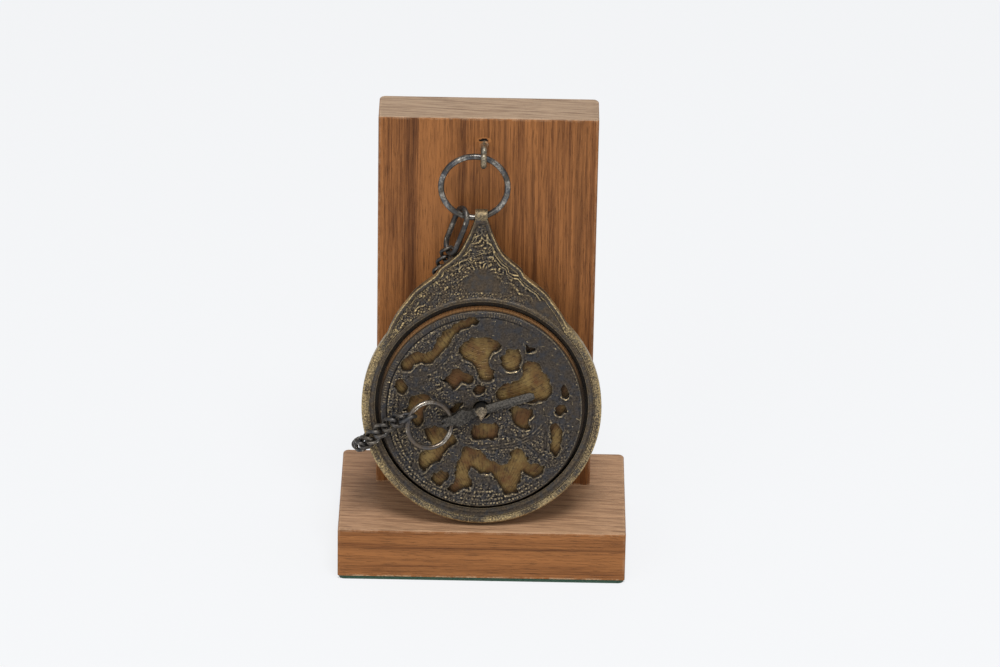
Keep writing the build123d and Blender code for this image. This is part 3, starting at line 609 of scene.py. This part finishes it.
def throne_relief(x, y):
    """Foliage on the throne, worn smooth at its middle and at its lower right."""
    wave_x = x + 0.7 * (clouds(x, y, size=1.8, seed=15) - 0.5)
    wave_y = y + 0.7 * (clouds(x, y, size=1.8, seed=17) - 0.5)
    broken = smooth(clouds(x, y, size=2.2, seed=23), 0.25, 0.6)
    borders = smooth(from_ways(wave_x, wave_y, throne_borders(), 1.0), 0.34, 0.08)
    borders *= at_least(0.35, np.maximum(broken, smooth(x + y, 52, 60)))
    foliage = smooth(from_ways(wave_x, wave_y, throne_foliage(), 1.0), 0.5, 0.1)
    foliage *= at_least(0.25, broken)
    specks = smooth(crevices(x, y, size=0.75, seed=11), 0.12, 0.5)
    leaves = smooth(crevices(x, y, size=1.1, seed=13), 0.05, 0.4) * smooth(-x, -2, 8)
    veins = scrolls(x, y, width=0.42, seed=21)
    arch = smooth(y, 50, 54) * smooth(np.abs(x - THRONE_AXIS), 7, 4)
    arch *= smooth(scrolls(x, y, width=0.8, seed=61), 0.45, 0.9)
    relief = 0.75 * foliage + 0.4 * specks + 0.25 * veins + 0.5 * leaves + 0.7 * arch
    middle = smooth(np.hypot((x + 1.0) * 0.9, y - 46.5), 3.0, 7.5)
    lower_right = 1 - smooth(x, 10, 16) * smooth(x - y + 24, -3, 5)
    worn = middle * at_least(0.15, lower_right) * at_least(0.5, clouds(x, y, size=3, seed=25))
    band = smooth(np.abs(y - 42.2 + 0.0065 * x * x), 1.25, 1.0)
    glyphs = band * smooth(crevices(x * 0.8, y, size=0.8, seed=27), 0.1, 0.4)
    relief = np.maximum(relief * worn, 0.55 * glyphs * lower_right)
    return (FOLIAGE_HEIGHT * np.maximum(relief, 0.95 * borders)
            + FOLIAGE_UNEVEN * clouds(x, y, size=0.8, seed=29))


def limb_relief(x, y):
    """The limb's scale: rows of short marks between fine lines, worn away in places."""
    r = np.hypot(x, y)
    turn = around(x, y, LIMB_TICKS)
    inner, outer = LIMB_SCALE
    kind = lattice(31)[(np.floor(turn) % 64).astype(int), 3]
    half = 0.5 * (outer - inner) - 0.2
    marks = line_at(turn % 1, 0.5, 0.36, 0.24)
    marks *= line_at(r, 0.5 * (inner + outer), half, half - 0.12)
    bars = line_at(r, inner + (0.4 + 0.8 * kind) * (outer - inner) * 0.6, 0.26, 0.14)
    marks *= 1 - bars * np.where(kind > 0.3, 1, 0)
    lines = line_at(r, inner, 0.14, 0.06) + line_at(r, outer, 0.14, 0.06)
    from_lip = np.hypot(x - RECESS_CENTRE[0], y - RECESS_CENTRE[1]) - RECESS_EDGE
    upper_right = 1 - 0.6 * smooth(x + y, 44, 56)
    worn = at_least(0.3, smooth(clouds(x, y, size=6, seed=33), 0.25, 0.6)) * upper_right
    specks = smooth(crevices(x, y, size=0.6, seed=35), 0.05, 0.4)
    specks *= smooth(r, inner - 0.5, inner + 0.3) * upper_right
    specks *= smooth(clouds(x, y, size=2.4, seed=34), 0.35, 0.65)
    return (LIP_HEIGHT * line_at(from_lip, 0.9, 0.8, 0.2)
            - SCALE_DEPTH * worn * np.clip(marks + lines, 0, 1)
            + SPECK_HEIGHT * specks
            + PIT_DEPTH * (clouds(x, y, size=0.45, seed=36) - 0.5))


def carved_face(material):
    """A thin carved skin over the mater's front, sunk into it all along its border."""
    x, y = face_grid(-FACE_HALF, FACE_HALF, -FACE_HALF, FACE_TOP, FACE_STEP)
    level = probe("mater", x, y)
    inside = level > DEEPEST_CARVED
    edge = from_edge(inside, FACE_STEP, EDGE_REACH)
    panel = smooth(-level, *PANEL_DEPTH) * np.where(edge > PANEL_MARGIN, 1, 0)
    relief = panel * throne_relief(x, y) + (1 - panel) * limb_relief(x, y)
    border = smooth(edge, FACE_STEP * 0.9, FACE_STEP * 3.2)
    height = level + SKIN_LIFT + relief * border - SKIN_SINK * (1 - border)
    rub_and_glint = (relief - blurred(relief, RUB_CELLS)) / FACE_RUB
    number = np.cumsum(inside.ravel()).reshape(inside.shape) - 1
    whole = inside[:-1, :-1] & inside[1:, :-1] & inside[1:, 1:] & inside[:-1, 1:]
    corners = [number[:-1, :-1], number[1:, :-1], number[1:, 1:], number[:-1, 1:]]
    faces = np.stack([corner[whole] for corner in corners], axis=-1)
    points = np.stack([x[inside], y[inside], height[inside]], axis=-1)
    used = np.unique(faces)
    renumber = np.zeros(len(points), dtype=int)
    renumber[used] = np.arange(len(used))
    mesh = bpy.data.meshes.new("mater_carving")
    mesh.from_pydata(on_stand(points[used]).tolist(), [], renumber[faces].tolist())
    carve_marks(mesh, rub_and_glint[inside][used])
    new_piece(mesh, material, "astrolabe")


# The engraved rete

def rete_rim(x, y, r, turn, top):
    """The scale on the rim at the top, with the groove inside it."""
    low, high = RETE_SCALE
    ticks = smooth(r, low, low + 0.2) * smooth(high - r, 0.0, 0.2) * top
    ticks *= smooth(np.abs((turn + 0.5) % 1 - 0.5), 0.18, 0.32)
    ticks *= smooth(clouds(x, y, size=4, seed=46), 0.2, 0.7)
    return TICK_HEIGHT * ticks - GROOVE_DEPTH * line_at(r, low - 0.25, 0.25, 0.08) * top


def rete_veins(x, y, edge, broken):
    """Drawn lines, veins that follow the outlines, and leaves between them."""
    contour = waves(edge - 0.4, 1.05) * np.exp(-edge / 3.0)
    veins = smooth(scrolls(x, y, width=0.46, seed=41), 0.3, 0.8)
    leaves = smooth(crevices(x, y, size=0.95, seed=44), 0.04, 0.4)
    far = from_ways(x, y, [rounded_way(line) for line in RETE_LINES], 1.2)
    drawn = 0.7 * smooth(far, 0.36, 0.10) * at_least(0.3, broken)
    plain = smooth(np.hypot(x - 6, y - 30), 3.0, 9.0) * smooth(np.hypot(x - 20, y + 5), 2, 5)
    filling = at_least(0.25, plain) * (0.55 * veins + 0.55 * leaves) * smooth(far, 0.3, 0.9)
    strength = at_least(0.45, smooth(clouds(x, y, size=8, seed=47), 0.25, 0.7))
    strength *= 1 - 0.6 * smooth(x + y, 5, 35)
    return strength * np.maximum(at_least(0.3, broken) * contour, np.maximum(filling, drawn))


def rete_lip(x, y, edge):
    """The raised edge along the openings, highest below them and at the disc's left, where light
    from above and the left falls on it; through the patina its height also paints a highlight
    there.
    """
    # Painted highlight: edges below openings and at the left stand higher, so they come out
    # bright
    below = smooth(-np.gradient(edge, RETE_STEP, axis=1), -0.4, 0.6)
    kept = np.maximum(smooth(clouds(x, y, size=3.4, seed=42), 0.35, 0.6),
                      0.8 * smooth(-x, 10, 20))
    return line_at(edge, 0.5, 0.35, 0.1) * at_least(0.3, below) * at_least(0.25, kept)


def rete_relief(x, y, edge):
    """Engraving of the rete: veins and lips inside, a scale on its rim at the top, and rows
    of small marks on its rim below."""
    r = np.hypot(x, y)
    turn = around(x, y, RETE_TICKS)
    low = RETE_SCALE[0]
    top = smooth(y - x, 0, 24)
    broken = smooth(clouds(x, y, size=2.6, seed=40), 0.35, 0.7)
    lowest = np.clip(smooth(-x, 16, 28) * smooth(-y, -20, -6) + smooth(-y, 22, 30), 0, 1)
    rows = 0.45 + 0.55 * np.cos(2 * pi * (r - 31.2) / 1.5)
    marks = smooth(crevices(turn * 0.85, r, size=0.95, seed=43), 0.08, 0.36)
    marks *= smooth(r, 29.5, 31) * lowest * np.clip(0.4 + rows, 0, 1)
    relief = np.maximum(rete_veins(x, y, edge, broken), 1.15 * marks)
    lip = rete_lip(x, y, edge) * (1 - smooth(r, low - 0.2, low + 0.4))
    inside = 1 - smooth(r, low - 0.6, low - 0.2) * top
    rim = 0.6 * line_at(r, 36.4, 0.3, 0.1) * (1 - top)
    relief = np.maximum(inside * np.maximum(relief, lip), rim)
    return (VEIN_HEIGHT * relief + rete_rim(x, y, r, turn, top)
            + GRAIN_HEIGHT * (clouds(x, y, size=0.45, seed=49) - 0.5) - UNDER_WEDGE)


def even_copy(node):
    """A copy of a node's mesh, made of small even faces."""
    source = bpy.data.objects.new("source", frame["nodes"][node].data.copy())
    bpy.context.collection.objects.link(source)
    remesh = source.modifiers.new("even", "REMESH")
    remesh.mode = "VOXEL"
    remesh.voxel_size = RETE_STEP * MM
    mesh = bpy.data.meshes.new_from_object(
        source.evaluated_get(bpy.context.evaluated_depsgraph_get()))
    bpy.data.objects.remove(source)
    return mesh


def engraved_rete(material):
    """The rete with softened, ragged edges and its engraving, in place of the plain one."""
    mesh = even_copy("rete")
    mesh.name = "rete_engraved"
    flat = np.empty(len(mesh.vertices) * 3)
    mesh.vertices.foreach_get("co", flat)
    local = (flat.reshape(-1, 3) - np.array(DISC_CENTRE)) @ np.array(DISC_AXES) / MM
    x, y, z = local.T
    top = z.max()
    grid_x, grid_y = face_grid(-RETE_HALF, RETE_HALF, -RETE_HALF, RETE_HALF, RETE_STEP)
    edge = from_edge(probe("rete", grid_x, grid_y) > top - RETE_THICK, RETE_STEP, EDGE_REACH)
    relief = rete_relief(grid_x, grid_y, edge)
    rub_and_glint = (relief - blurred(relief, RUB_CELLS)) / RETE_RUB
    rounding = EDGE_ROUNDING * (1 - smooth(edge, 0.0, 0.5))
    share = smooth(z, top - MOVED_LAYER[0], top - MOVED_LAYER[1])
    local[:, 2] += share * picked(relief - rounding, x, y, RETE_HALF, RETE_STEP)
    r = np.hypot(x, y)
    ragged = RAGGED * smooth(RETE_HALF - 1.8 - r, 0.0, 1.0) * smooth(r, 4.0, 6.0)
    local[:, 0] += ragged * (clouds(x, y, size=1.3, seed=51) - 0.5)
    local[:, 1] += ragged * (clouds(x, y, size=1.3, seed=53) - 0.5)
    mesh.vertices.foreach_set("co", on_stand(local).ravel())
    carve_marks(mesh, share * picked(rub_and_glint, x, y, RETE_HALF, RETE_STEP))
    made = new_piece(mesh, material, "rete")
    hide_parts("rete")


# Felt

def felt():
    shade = Shade("green_felt")
    fibre = shade.noise(shade.object_place(), scale=2.6, detail=6, rough=0.75, distortion=1.5)
    return shade.finish(shade.ramp(fibre, FELT_TONES), 0.95,
                        normal=shade.bump(fibre, 0.4, 0.8), **{"Sheen Weight": 0.4})


def felt_fibres(material):
    """Short loose fibres that stand out of the felt's front, left and right edges."""
    random = np.random.RandomState(FIBRE_SEED)
    low, high = (np.array(corner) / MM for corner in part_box("felt_pad"))
    points, faces = [], []
    for _ in range(FIBRES):
        along = random.rand()
        side = random.randint(3)
        height = FIBRE_MARGIN + random.rand() * (high[2] - 2 * FIBRE_MARGIN)
        if side == 0:
            root, out = (low[0] + along * (high[0] - low[0]), low[1] + 0.1), (0, -1)
        else:
            x = low[0] + 0.1 if side == 1 else high[0] - 0.1
            root, out = (x, low[1] + along * (high[1] - low[1])), (-1 if side == 1 else 1, 0)
        across_x, across_y = abs(out[1]), abs(out[0])
        length = 0.25 + 0.45 * random.rand() ** 2
        sideways = (random.rand() - 0.5) * 1.6
        end = (root[0] + out[0] * length + across_x * sideways,
               root[1] + out[1] * length + across_y * sideways)
        tip = max(FIBRE_FLOOR, height + (random.rand() - 0.5) * 0.5)
        first = len(points)
        for px, py, pz, r in ((*root, height, FIBRE_ROOT), (*end, tip, FIBRE_TIP)):
            for corner in range(3):
                a = 2 * pi * corner / 3
                points.append((px + r * cos(a) * across_x, py + r * cos(a) * across_y,
                               pz + r * sin(a)))
        for corner in range(3):
            following = (corner + 1) % 3
            faces.append([first + corner, first + following, first + 3 + following,
                          first + 3 + corner])
        faces.append([first + 3, first + 4, first + 5])
        faces.append([first + 2, first + 1, first])
    mesh = bpy.data.meshes.new("felt_fibres")
    mesh.from_pydata([Vector(p) * MM for p in points], [], faces)
    new_piece(mesh, material, "stand")


# Wood

def grained(grain, across, along):
    """Scales for a pattern drawn out along the grain's axis."""
    return [along if axis == grain else across for axis in "XYZ"]


def streaked(shade, body, across, fine):
    """The board's dark streaks, broken up by its fibres."""
    for centre, half, strength in UPRIGHT_STREAKS:
        away = shade.math("ABSOLUTE", shade.math("SUBTRACT", across, centre))
        share = shade.math("MULTIPLY", shade.span(away, half, 0.2 * half, 0.0, strength),
                           shade.span(fine, 0.35, 0.55, 0.4, 1.0))
        body = shade.mix(share, body, (*DEEP_WOOD, 1))
    return body


def torn_hole(shade, body, place, facing_y):
    """The torn edge of the hook's hole on the board's front, just above the hook's shank, with
    the hole's inside painted black as shade.
    """
    low, high = (np.array(corner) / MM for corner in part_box("cup_hook"))
    centre = (0.5 * (low[0] + high[0]), 0.0, high[2] + HOLE_RISE)
    offset = shade.vector("MULTIPLY", shade.vector("SUBTRACT", place, centre),
                          (1 / HOLE_HALF[0], 0, 1 / HOLE_HALF[1]))
    ragged = shade.span(shade.noise(place, scale=1.1, detail=4), 0.3, 0.7, -0.4, 0.4)
    torn = shade.math("ADD", shade.length(offset), ragged)
    front = shade.span(facing_y, -0.5, -0.8)
    splinters = shade.math("MULTIPLY", shade.span(torn, 1.7, 1.2, 0.0, 0.6), front)
    body = shade.mix(splinters, body, SPLINTERS)
    # Painted shade: the inside of the hole is painted black
    hole = shade.math("MULTIPLY", shade.span(torn, 1.1, 0.8), front)
    return shade.mix(hole, body, HOLE_SHADE)


def wood(name, grain, tones, top_light_tones, upright=False):
    """Oiled board with its grain along one axis, open pores, dark streaks and worn edges, whose
    pale colour also paints a highlight along them; its upward faces are painted paler as light
    and sheen.
    """
    pale, dark, deep = tones
    ink = (*deep, 1)
    shade = Shade(name)
    place = shade.object_place()
    broad = shade.noise(shade.stretched(place, grained(grain, 1, 0.03)),
                        scale=0.10, detail=4, rough=0.6, distortion=0.8)
    fine = shade.noise(shade.stretched(place, grained(grain, 1, 0.015)),
                       scale=2.4, detail=6, rough=0.7, distortion=0.15)
    figure = shade.math("ADD", shade.math("MULTIPLY", broad, 0.55),
                        shade.math("MULTIPLY", fine, 0.45))
    body = shade.ramp(figure, ((0.36, deep), (0.45, dark), (0.54, pale),
                               (0.66, [1.25 * c for c in pale])))
    streak = shade.noise(shade.stretched(place, grained(grain, 1.6, 0.03)), scale=0.30)
    body = shade.mix(shade.span(streak, 0.58, 0.68, 0.0, 0.5), body, ink)
    pores = shade.noise(shade.stretched(place, grained(grain, 4.5, 0.12)),
                        scale=1.1, rough=0.6)
    pores = shade.span(pores, 0.58, 0.66)
    body = shade.mix(shade.math("MULTIPLY", pores, 0.7), body, ink)
    facing = shade.split(shade.node("NewGeometry").outputs["Normal"])
    across = shade.split(place)[0]
    if upright:
        bent = shade.math("ADD", across, shade.span(broad, 0.3, 0.7, -2.5, 2.5))
        body = streaked(shade, body, bent, fine)
        body = torn_hole(shade, body, place, facing[1])
    # Painted light and sheen: upward faces take paler tones, lighter towards the right on the
    # base
    lit = shade.mix(shade.span(across, *TOP_LIGHT_SPREAD), *top_light_tones)
    level = shade.noise(shade.stretched(place, (0.06, 1, 1), turn=(0, 0, 4)),
                        scale=1.0, detail=6, rough=0.7, distortion=0.4)
    lit = shade.mix(shade.span(level, 0.56, 0.38, 0.0, 0.5), lit, ink)
    body = shade.mix(shade.span(facing[2], 0.5, 0.9, 0.0, 0.95), body, lit)
    # Worn edges turn to pale bare wood, a colour that also paints a highlight along the edges
    patches = shade.span(shade.noise(place, scale=0.30, detail=5, rough=0.65), 0.42, 0.56)
    worn = shade.math("MULTIPLY", shade.edge_wear_and_highlight(1.3), shade.math("MULTIPLY", patches, 0.7))
    body = shade.mix(worn, body, BARE_WOOD_AND_EDGE_LIGHT)
    height = shade.math("SUBTRACT", shade.math("MULTIPLY", fine, 0.4), pores)
    return shade.finish(body, shade.span(fine, 0.3, 0.7, 0.42, 0.60),
                        normal=shade.bump(height, 0.12, 0.7), **{"Specular IOR Level": 0.18})


# Metal

def patina(name, dark, worn, on_disc=True, rubbed_from=0.60, rough=(0.30, 0.60), speckle=1.0,
           edge=0.4, carved=False, dull_above=None, dull_inside=None, painted_shade_reach=None):
    """Dark tarnished metal, worn bright on its edges and high spots, black in its hollows; the
    bright edges and high spots also paint glints of light.

    rubbed_from is the level of a cloudy pattern above which flat places are worn bright too,
    rough the roughness where it is worn bright and where it isn't, edge the width of a worn
    bright edge. A carved piece carries how far each point is worn bright and glints. Above one
    height and inside one radius the metal may be duller, and within painted_shade_reach it is
    darkened with painted shade where its surroundings hide it."""
    shade = Shade(name)
    place = shade.disc_place() if on_disc else shade.object_place()
    cloud = shade.noise(place, scale=0.13, detail=5, rough=0.6)
    tint = shade.noise(place, scale=0.32, detail=4, rough=0.6)
    speck = shade.noise(place, scale=1.6, detail=6, rough=0.72)
    pointed = shade.node("NewGeometry").outputs["Pointiness"]
    high = shade.span(pointed, 0.515, 0.60)
    low = shade.span(pointed, 0.49, 0.42)
    if carved:
        rub_and_glint = shade.node("Attribute", attribute_name="rub_and_glint").outputs["Fac"]
        high = shade.math("MAXIMUM", high, shade.span(rub_and_glint, 0.35, 1.3))
        low = shade.math("MAXIMUM", low, shade.span(rub_and_glint, -0.05, -0.75))
    # Painted highlight: edges, pointed and raised places take the worn bright colour, real wear
    # that also stands in for glints of light
    rubbed_and_glinting = shade.math("MAXIMUM", shade.edge_wear_and_highlight(edge), high)
    rubbed_and_glinting = shade.math("MAXIMUM", rubbed_and_glinting,
                        shade.span(cloud, rubbed_from, rubbed_from + 0.2, 0.0, 0.7))
    rubbed_and_glinting = shade.math("MULTIPLY", rubbed_and_glinting, shade.span(speck, 0.40, 0.60, 0.1, 1.0))
    if dull_above is not None:
        height = shade.split(place)[1]
        rubbed_and_glinting = shade.math("MULTIPLY", rubbed_and_glinting,
                            shade.span(height, dull_above - 1, dull_above, 1.0, 0.25))
    if dull_inside is not None:
        outward = shade.length(shade.vector("MULTIPLY", place, (1, 1, 0)))
        rubbed_and_glinting = shade.math("MULTIPLY", rubbed_and_glinting, shade.span(outward, *dull_inside, 0.2, 1.0))
    dull = shade.mix(shade.span(speck, 0.5 - 0.15 / speckle, 0.5 + 0.15 / speckle),
                     (*[c * (1 - 0.5 * speckle) for c in dark], 1),
                     (*[c * (1 + 0.35 * speckle) for c in dark], 1))
    cooler = (dark[0] * 0.66, dark[1] * 0.84, dark[2] * 1.2, 1)
    dull = shade.mix(shade.span(tint, 0.45, 0.62, 0.0, 0.8), dull, cooler)
    colour = shade.mix(rubbed_and_glinting, dull, (*worn, 1))
    colour = shade.mix(low, colour, HOLLOW_AND_SHADE)
    # Painted shade: darker where the surroundings hide a point
    if painted_shade_reach is not None:
        painted_shade = shade.span(shade.shelter(painted_shade_reach), 0.35, 0.85, 0.0, 0.85)
        colour = shade.mix(painted_shade, colour, HOLLOW_AND_SHADE)
    return shade.finish(colour, shade.span(rubbed_and_glinting, 0, 1, rough[1], rough[0]), METALLIC,
                        shade.bump(speck, 0.06 * speckle, 0.6))


def engraved_lines(shade, value):
    """Thin lines halfway between the whole steps of a value."""
    away = shade.math("SUBTRACT", shade.math("FRACT", value), 0.5)
    return shade.span(shade.math("ABSOLUTE", away), *LINE_WIDTH)


def golden_plate():
    """Tarnished plate with fine engraved arcs and rays, orange and dark in patches, with painted
    shade in its corners and along its rim, which is painted orange only at the top, as lit.
    """
    shade = Shade("plate_brass")
    place = shade.disc_place()
    x, y, _ = shade.split(place)
    away = shade.node("CombineXYZ", {0: shade.math("SUBTRACT", x, ARC_CENTRE[0]),
                                     1: shade.math("SUBTRACT", y, ARC_CENTRE[1])})
    arcs = engraved_lines(shade, shade.math("DIVIDE", shade.length(away.outputs[0]), ARC_STEP))
    angle = shade.math("ARCTAN2", shade.math("SUBTRACT", x, RAY_CENTRE[0]),
                       shade.math("SUBTRACT", y, RAY_CENTRE[1]))
    rays = engraved_lines(shade, shade.math("MULTIPLY", angle, RAYS))
    upper = shade.span(y, 1.0, 3.0)
    lines = shade.math("ADD", shade.math("MULTIPLY", arcs, upper),
                       shade.math("MULTIPLY", rays, shade.math("SUBTRACT", 1.0, upper)))
    cloud = shade.noise(place, scale=0.14, detail=5, rough=0.65)
    patch = shade.noise(place, scale=0.45, detail=4, rough=0.6)
    speck = shade.noise(place, scale=1.8, detail=5, rough=0.7)
    lines = shade.math("MULTIPLY", lines, shade.span(patch, 0.40, 0.56, 0.2, 1.0))
    colour = shade.ramp(cloud, PLATE_TONES)
    colour = shade.mix(shade.span(patch, 0.52, 0.68, 0.0, 0.7), colour, PLATE_STAIN)
    # Painted shade: the rim is dark in the recess's gap, and orange only at the top, where light
    # reaches it
    rim = shade.span(shade.length(place), *PLATE_RIM)
    colour = shade.mix(rim, colour, RIM_SHADE)
    colour = shade.mix(shade.math("MULTIPLY", rim, shade.span(y, 8, 26)), colour, RIM_LIT_ORANGE)
    flat = shade.vector("MULTIPLY", place, (1, 1, 0))
    for spot_x, spot_y, reach in RED_SPOTS:
        away = shade.length(shade.vector("SUBTRACT", flat, (spot_x, spot_y, 0)))
        colour = shade.mix(shade.span(away, reach, 0.5 * reach, 0.0, 0.7), colour, PLATE_RED)
    colour = shade.mix(shade.span(speck, 0.54, 0.68, 0.0, 0.5), colour, PLATE_SPECK)
    colour = shade.mix(shade.math("MULTIPLY", lines, 0.5), colour, PLATE_LINE)
    # Painted shade in the corners, where the rete and the limb stand round the plate
    corner = shade.span(shade.shelter(2.2), 0.22, 0.60)
    colour = shade.mix(shade.math("MULTIPLY", corner, 0.85), colour, PLATE_CORNER_SHADE)
    height = shade.math("SUBTRACT", shade.math("MULTIPLY", speck, 0.5), lines)
    return shade.finish(colour, shade.span(speck, 0.3, 0.7, 0.34, 0.55), 0.55,
                        shade.bump(height, 0.1, 0.8))


def dress_frame():
    """Materials for the frame's nodes, and the pieces that carry the fine relief."""
    dress(wood("upright_wood", "Z", UPRIGHT_TONES, UPRIGHT_TOP_LIGHT, upright=True), "upright_board")
    dress(wood("base_wood", "X", BASE_TONES, BASE_TOP_LIGHT), "base_board")
    green = felt()
    dress(green, "felt_pad")
    metals = {name: patina(name, **look) for name, look in METALS.items()}
    for name, nodes in METAL_NODES.items():
        dress(metals[name], *nodes)
    dress(golden_plate(), "plate_lower", "plate_upper")
    felt_fibres(green)
    carved_face(metals["limb_brass"])
    engraved_rete(metals["rete_brass"])


# Stage, light and camera

def stage():
    """A pale floor and a pale world that light the stand softly. Rays from the camera and
    from gloss see most of the floor in its plain colour, with the stand's shadow."""
    shade = Shade("pale_floor")
    shade.finish(FLOOR_COLOUR, FLOOR_ROUGHNESS)
    plain = shade.node("Emission", {"Color": BACKGROUND, "Strength": 1.0}).outputs[0]
    path = shade.node("LightPath").outputs
    seen = shade.math("MAXIMUM", path["Is Camera Ray"], path["Is Glossy Ray"])
    seen = shade.math("MAXIMUM", seen, path["Is Transmission Ray"])
    share = shade.math("MULTIPLY", seen, FLOOR_SEEN)
    mixed = shade.node("MixShader", {0: share, 1: shade.shader.outputs[0], 2: plain})
    shade.put(shade.tree.nodes["Material Output"].inputs["Surface"], mixed.outputs[0])
    bpy.ops.mesh.primitive_plane_add(size=FLOOR_SIZE, location=(0, 0, 0))
    floor = bpy.context.object
    floor.name = "floor"
    floor.data.materials.append(shade.material)
    world = bpy.data.worlds.new("studio")
    bpy.context.scene.world = world
    world.use_nodes = True
    back = world.node_tree.nodes["Background"]
    back.inputs["Color"].default_value = BACKGROUND
    back.inputs["Strength"].default_value = WORLD_LIGHT


def lights():
    for name, (place, size, power) in LAMPS.items():
        data = bpy.data.lights.new(name, "AREA")
        data.shape = "SQUARE"
        data.size = size
        data.energy = power
        made = bpy.data.objects.new(name, data)
        bpy.context.collection.objects.link(made)
        made.location = place
        aim = Vector(LAMP_TARGET) - Vector(place)
        made.rotation_euler = aim.to_track_quat("-Z", "Y").to_euler()


def camera():
    """A long lens at the photograph's angle."""
    pitch, yaw, roll = (radians(a) for a in (CAMERA_PITCH, CAMERA_YAW, CAMERA_ROLL))
    level = Matrix(((1, 0, 0), (0, 0, -1), (0, 1, 0)))
    turned = Matrix(((cos(yaw), sin(yaw), 0), (-sin(yaw), cos(yaw), 0), (0, 0, 1)))
    tipped = Matrix(((1, 0, 0), (0, cos(pitch), -sin(pitch)), (0, sin(pitch), cos(pitch))))
    rolled = Matrix(((cos(roll), -sin(roll), 0), (sin(roll), cos(roll), 0), (0, 0, 1)))
    right, down, ahead = rolled @ tipped @ level @ turned
    data = bpy.data.cameras.new("camera")
    data.lens = LENS
    data.sensor_width = SENSOR
    data.clip_end = CAMERA_REACH
    made = bpy.data.objects.new("camera", data)
    bpy.context.collection.objects.link(made)
    axes = Matrix((right, -down, -ahead)).transposed()
    made.matrix_world = Matrix.Translation(Vector(CAMERA_PLACE) * MM) @ axes.to_4x4()
    bpy.context.scene.camera = made


dress_frame()
stage()
lights()
camera()
bpy.context.scene.view_settings.view_transform = "Standard"
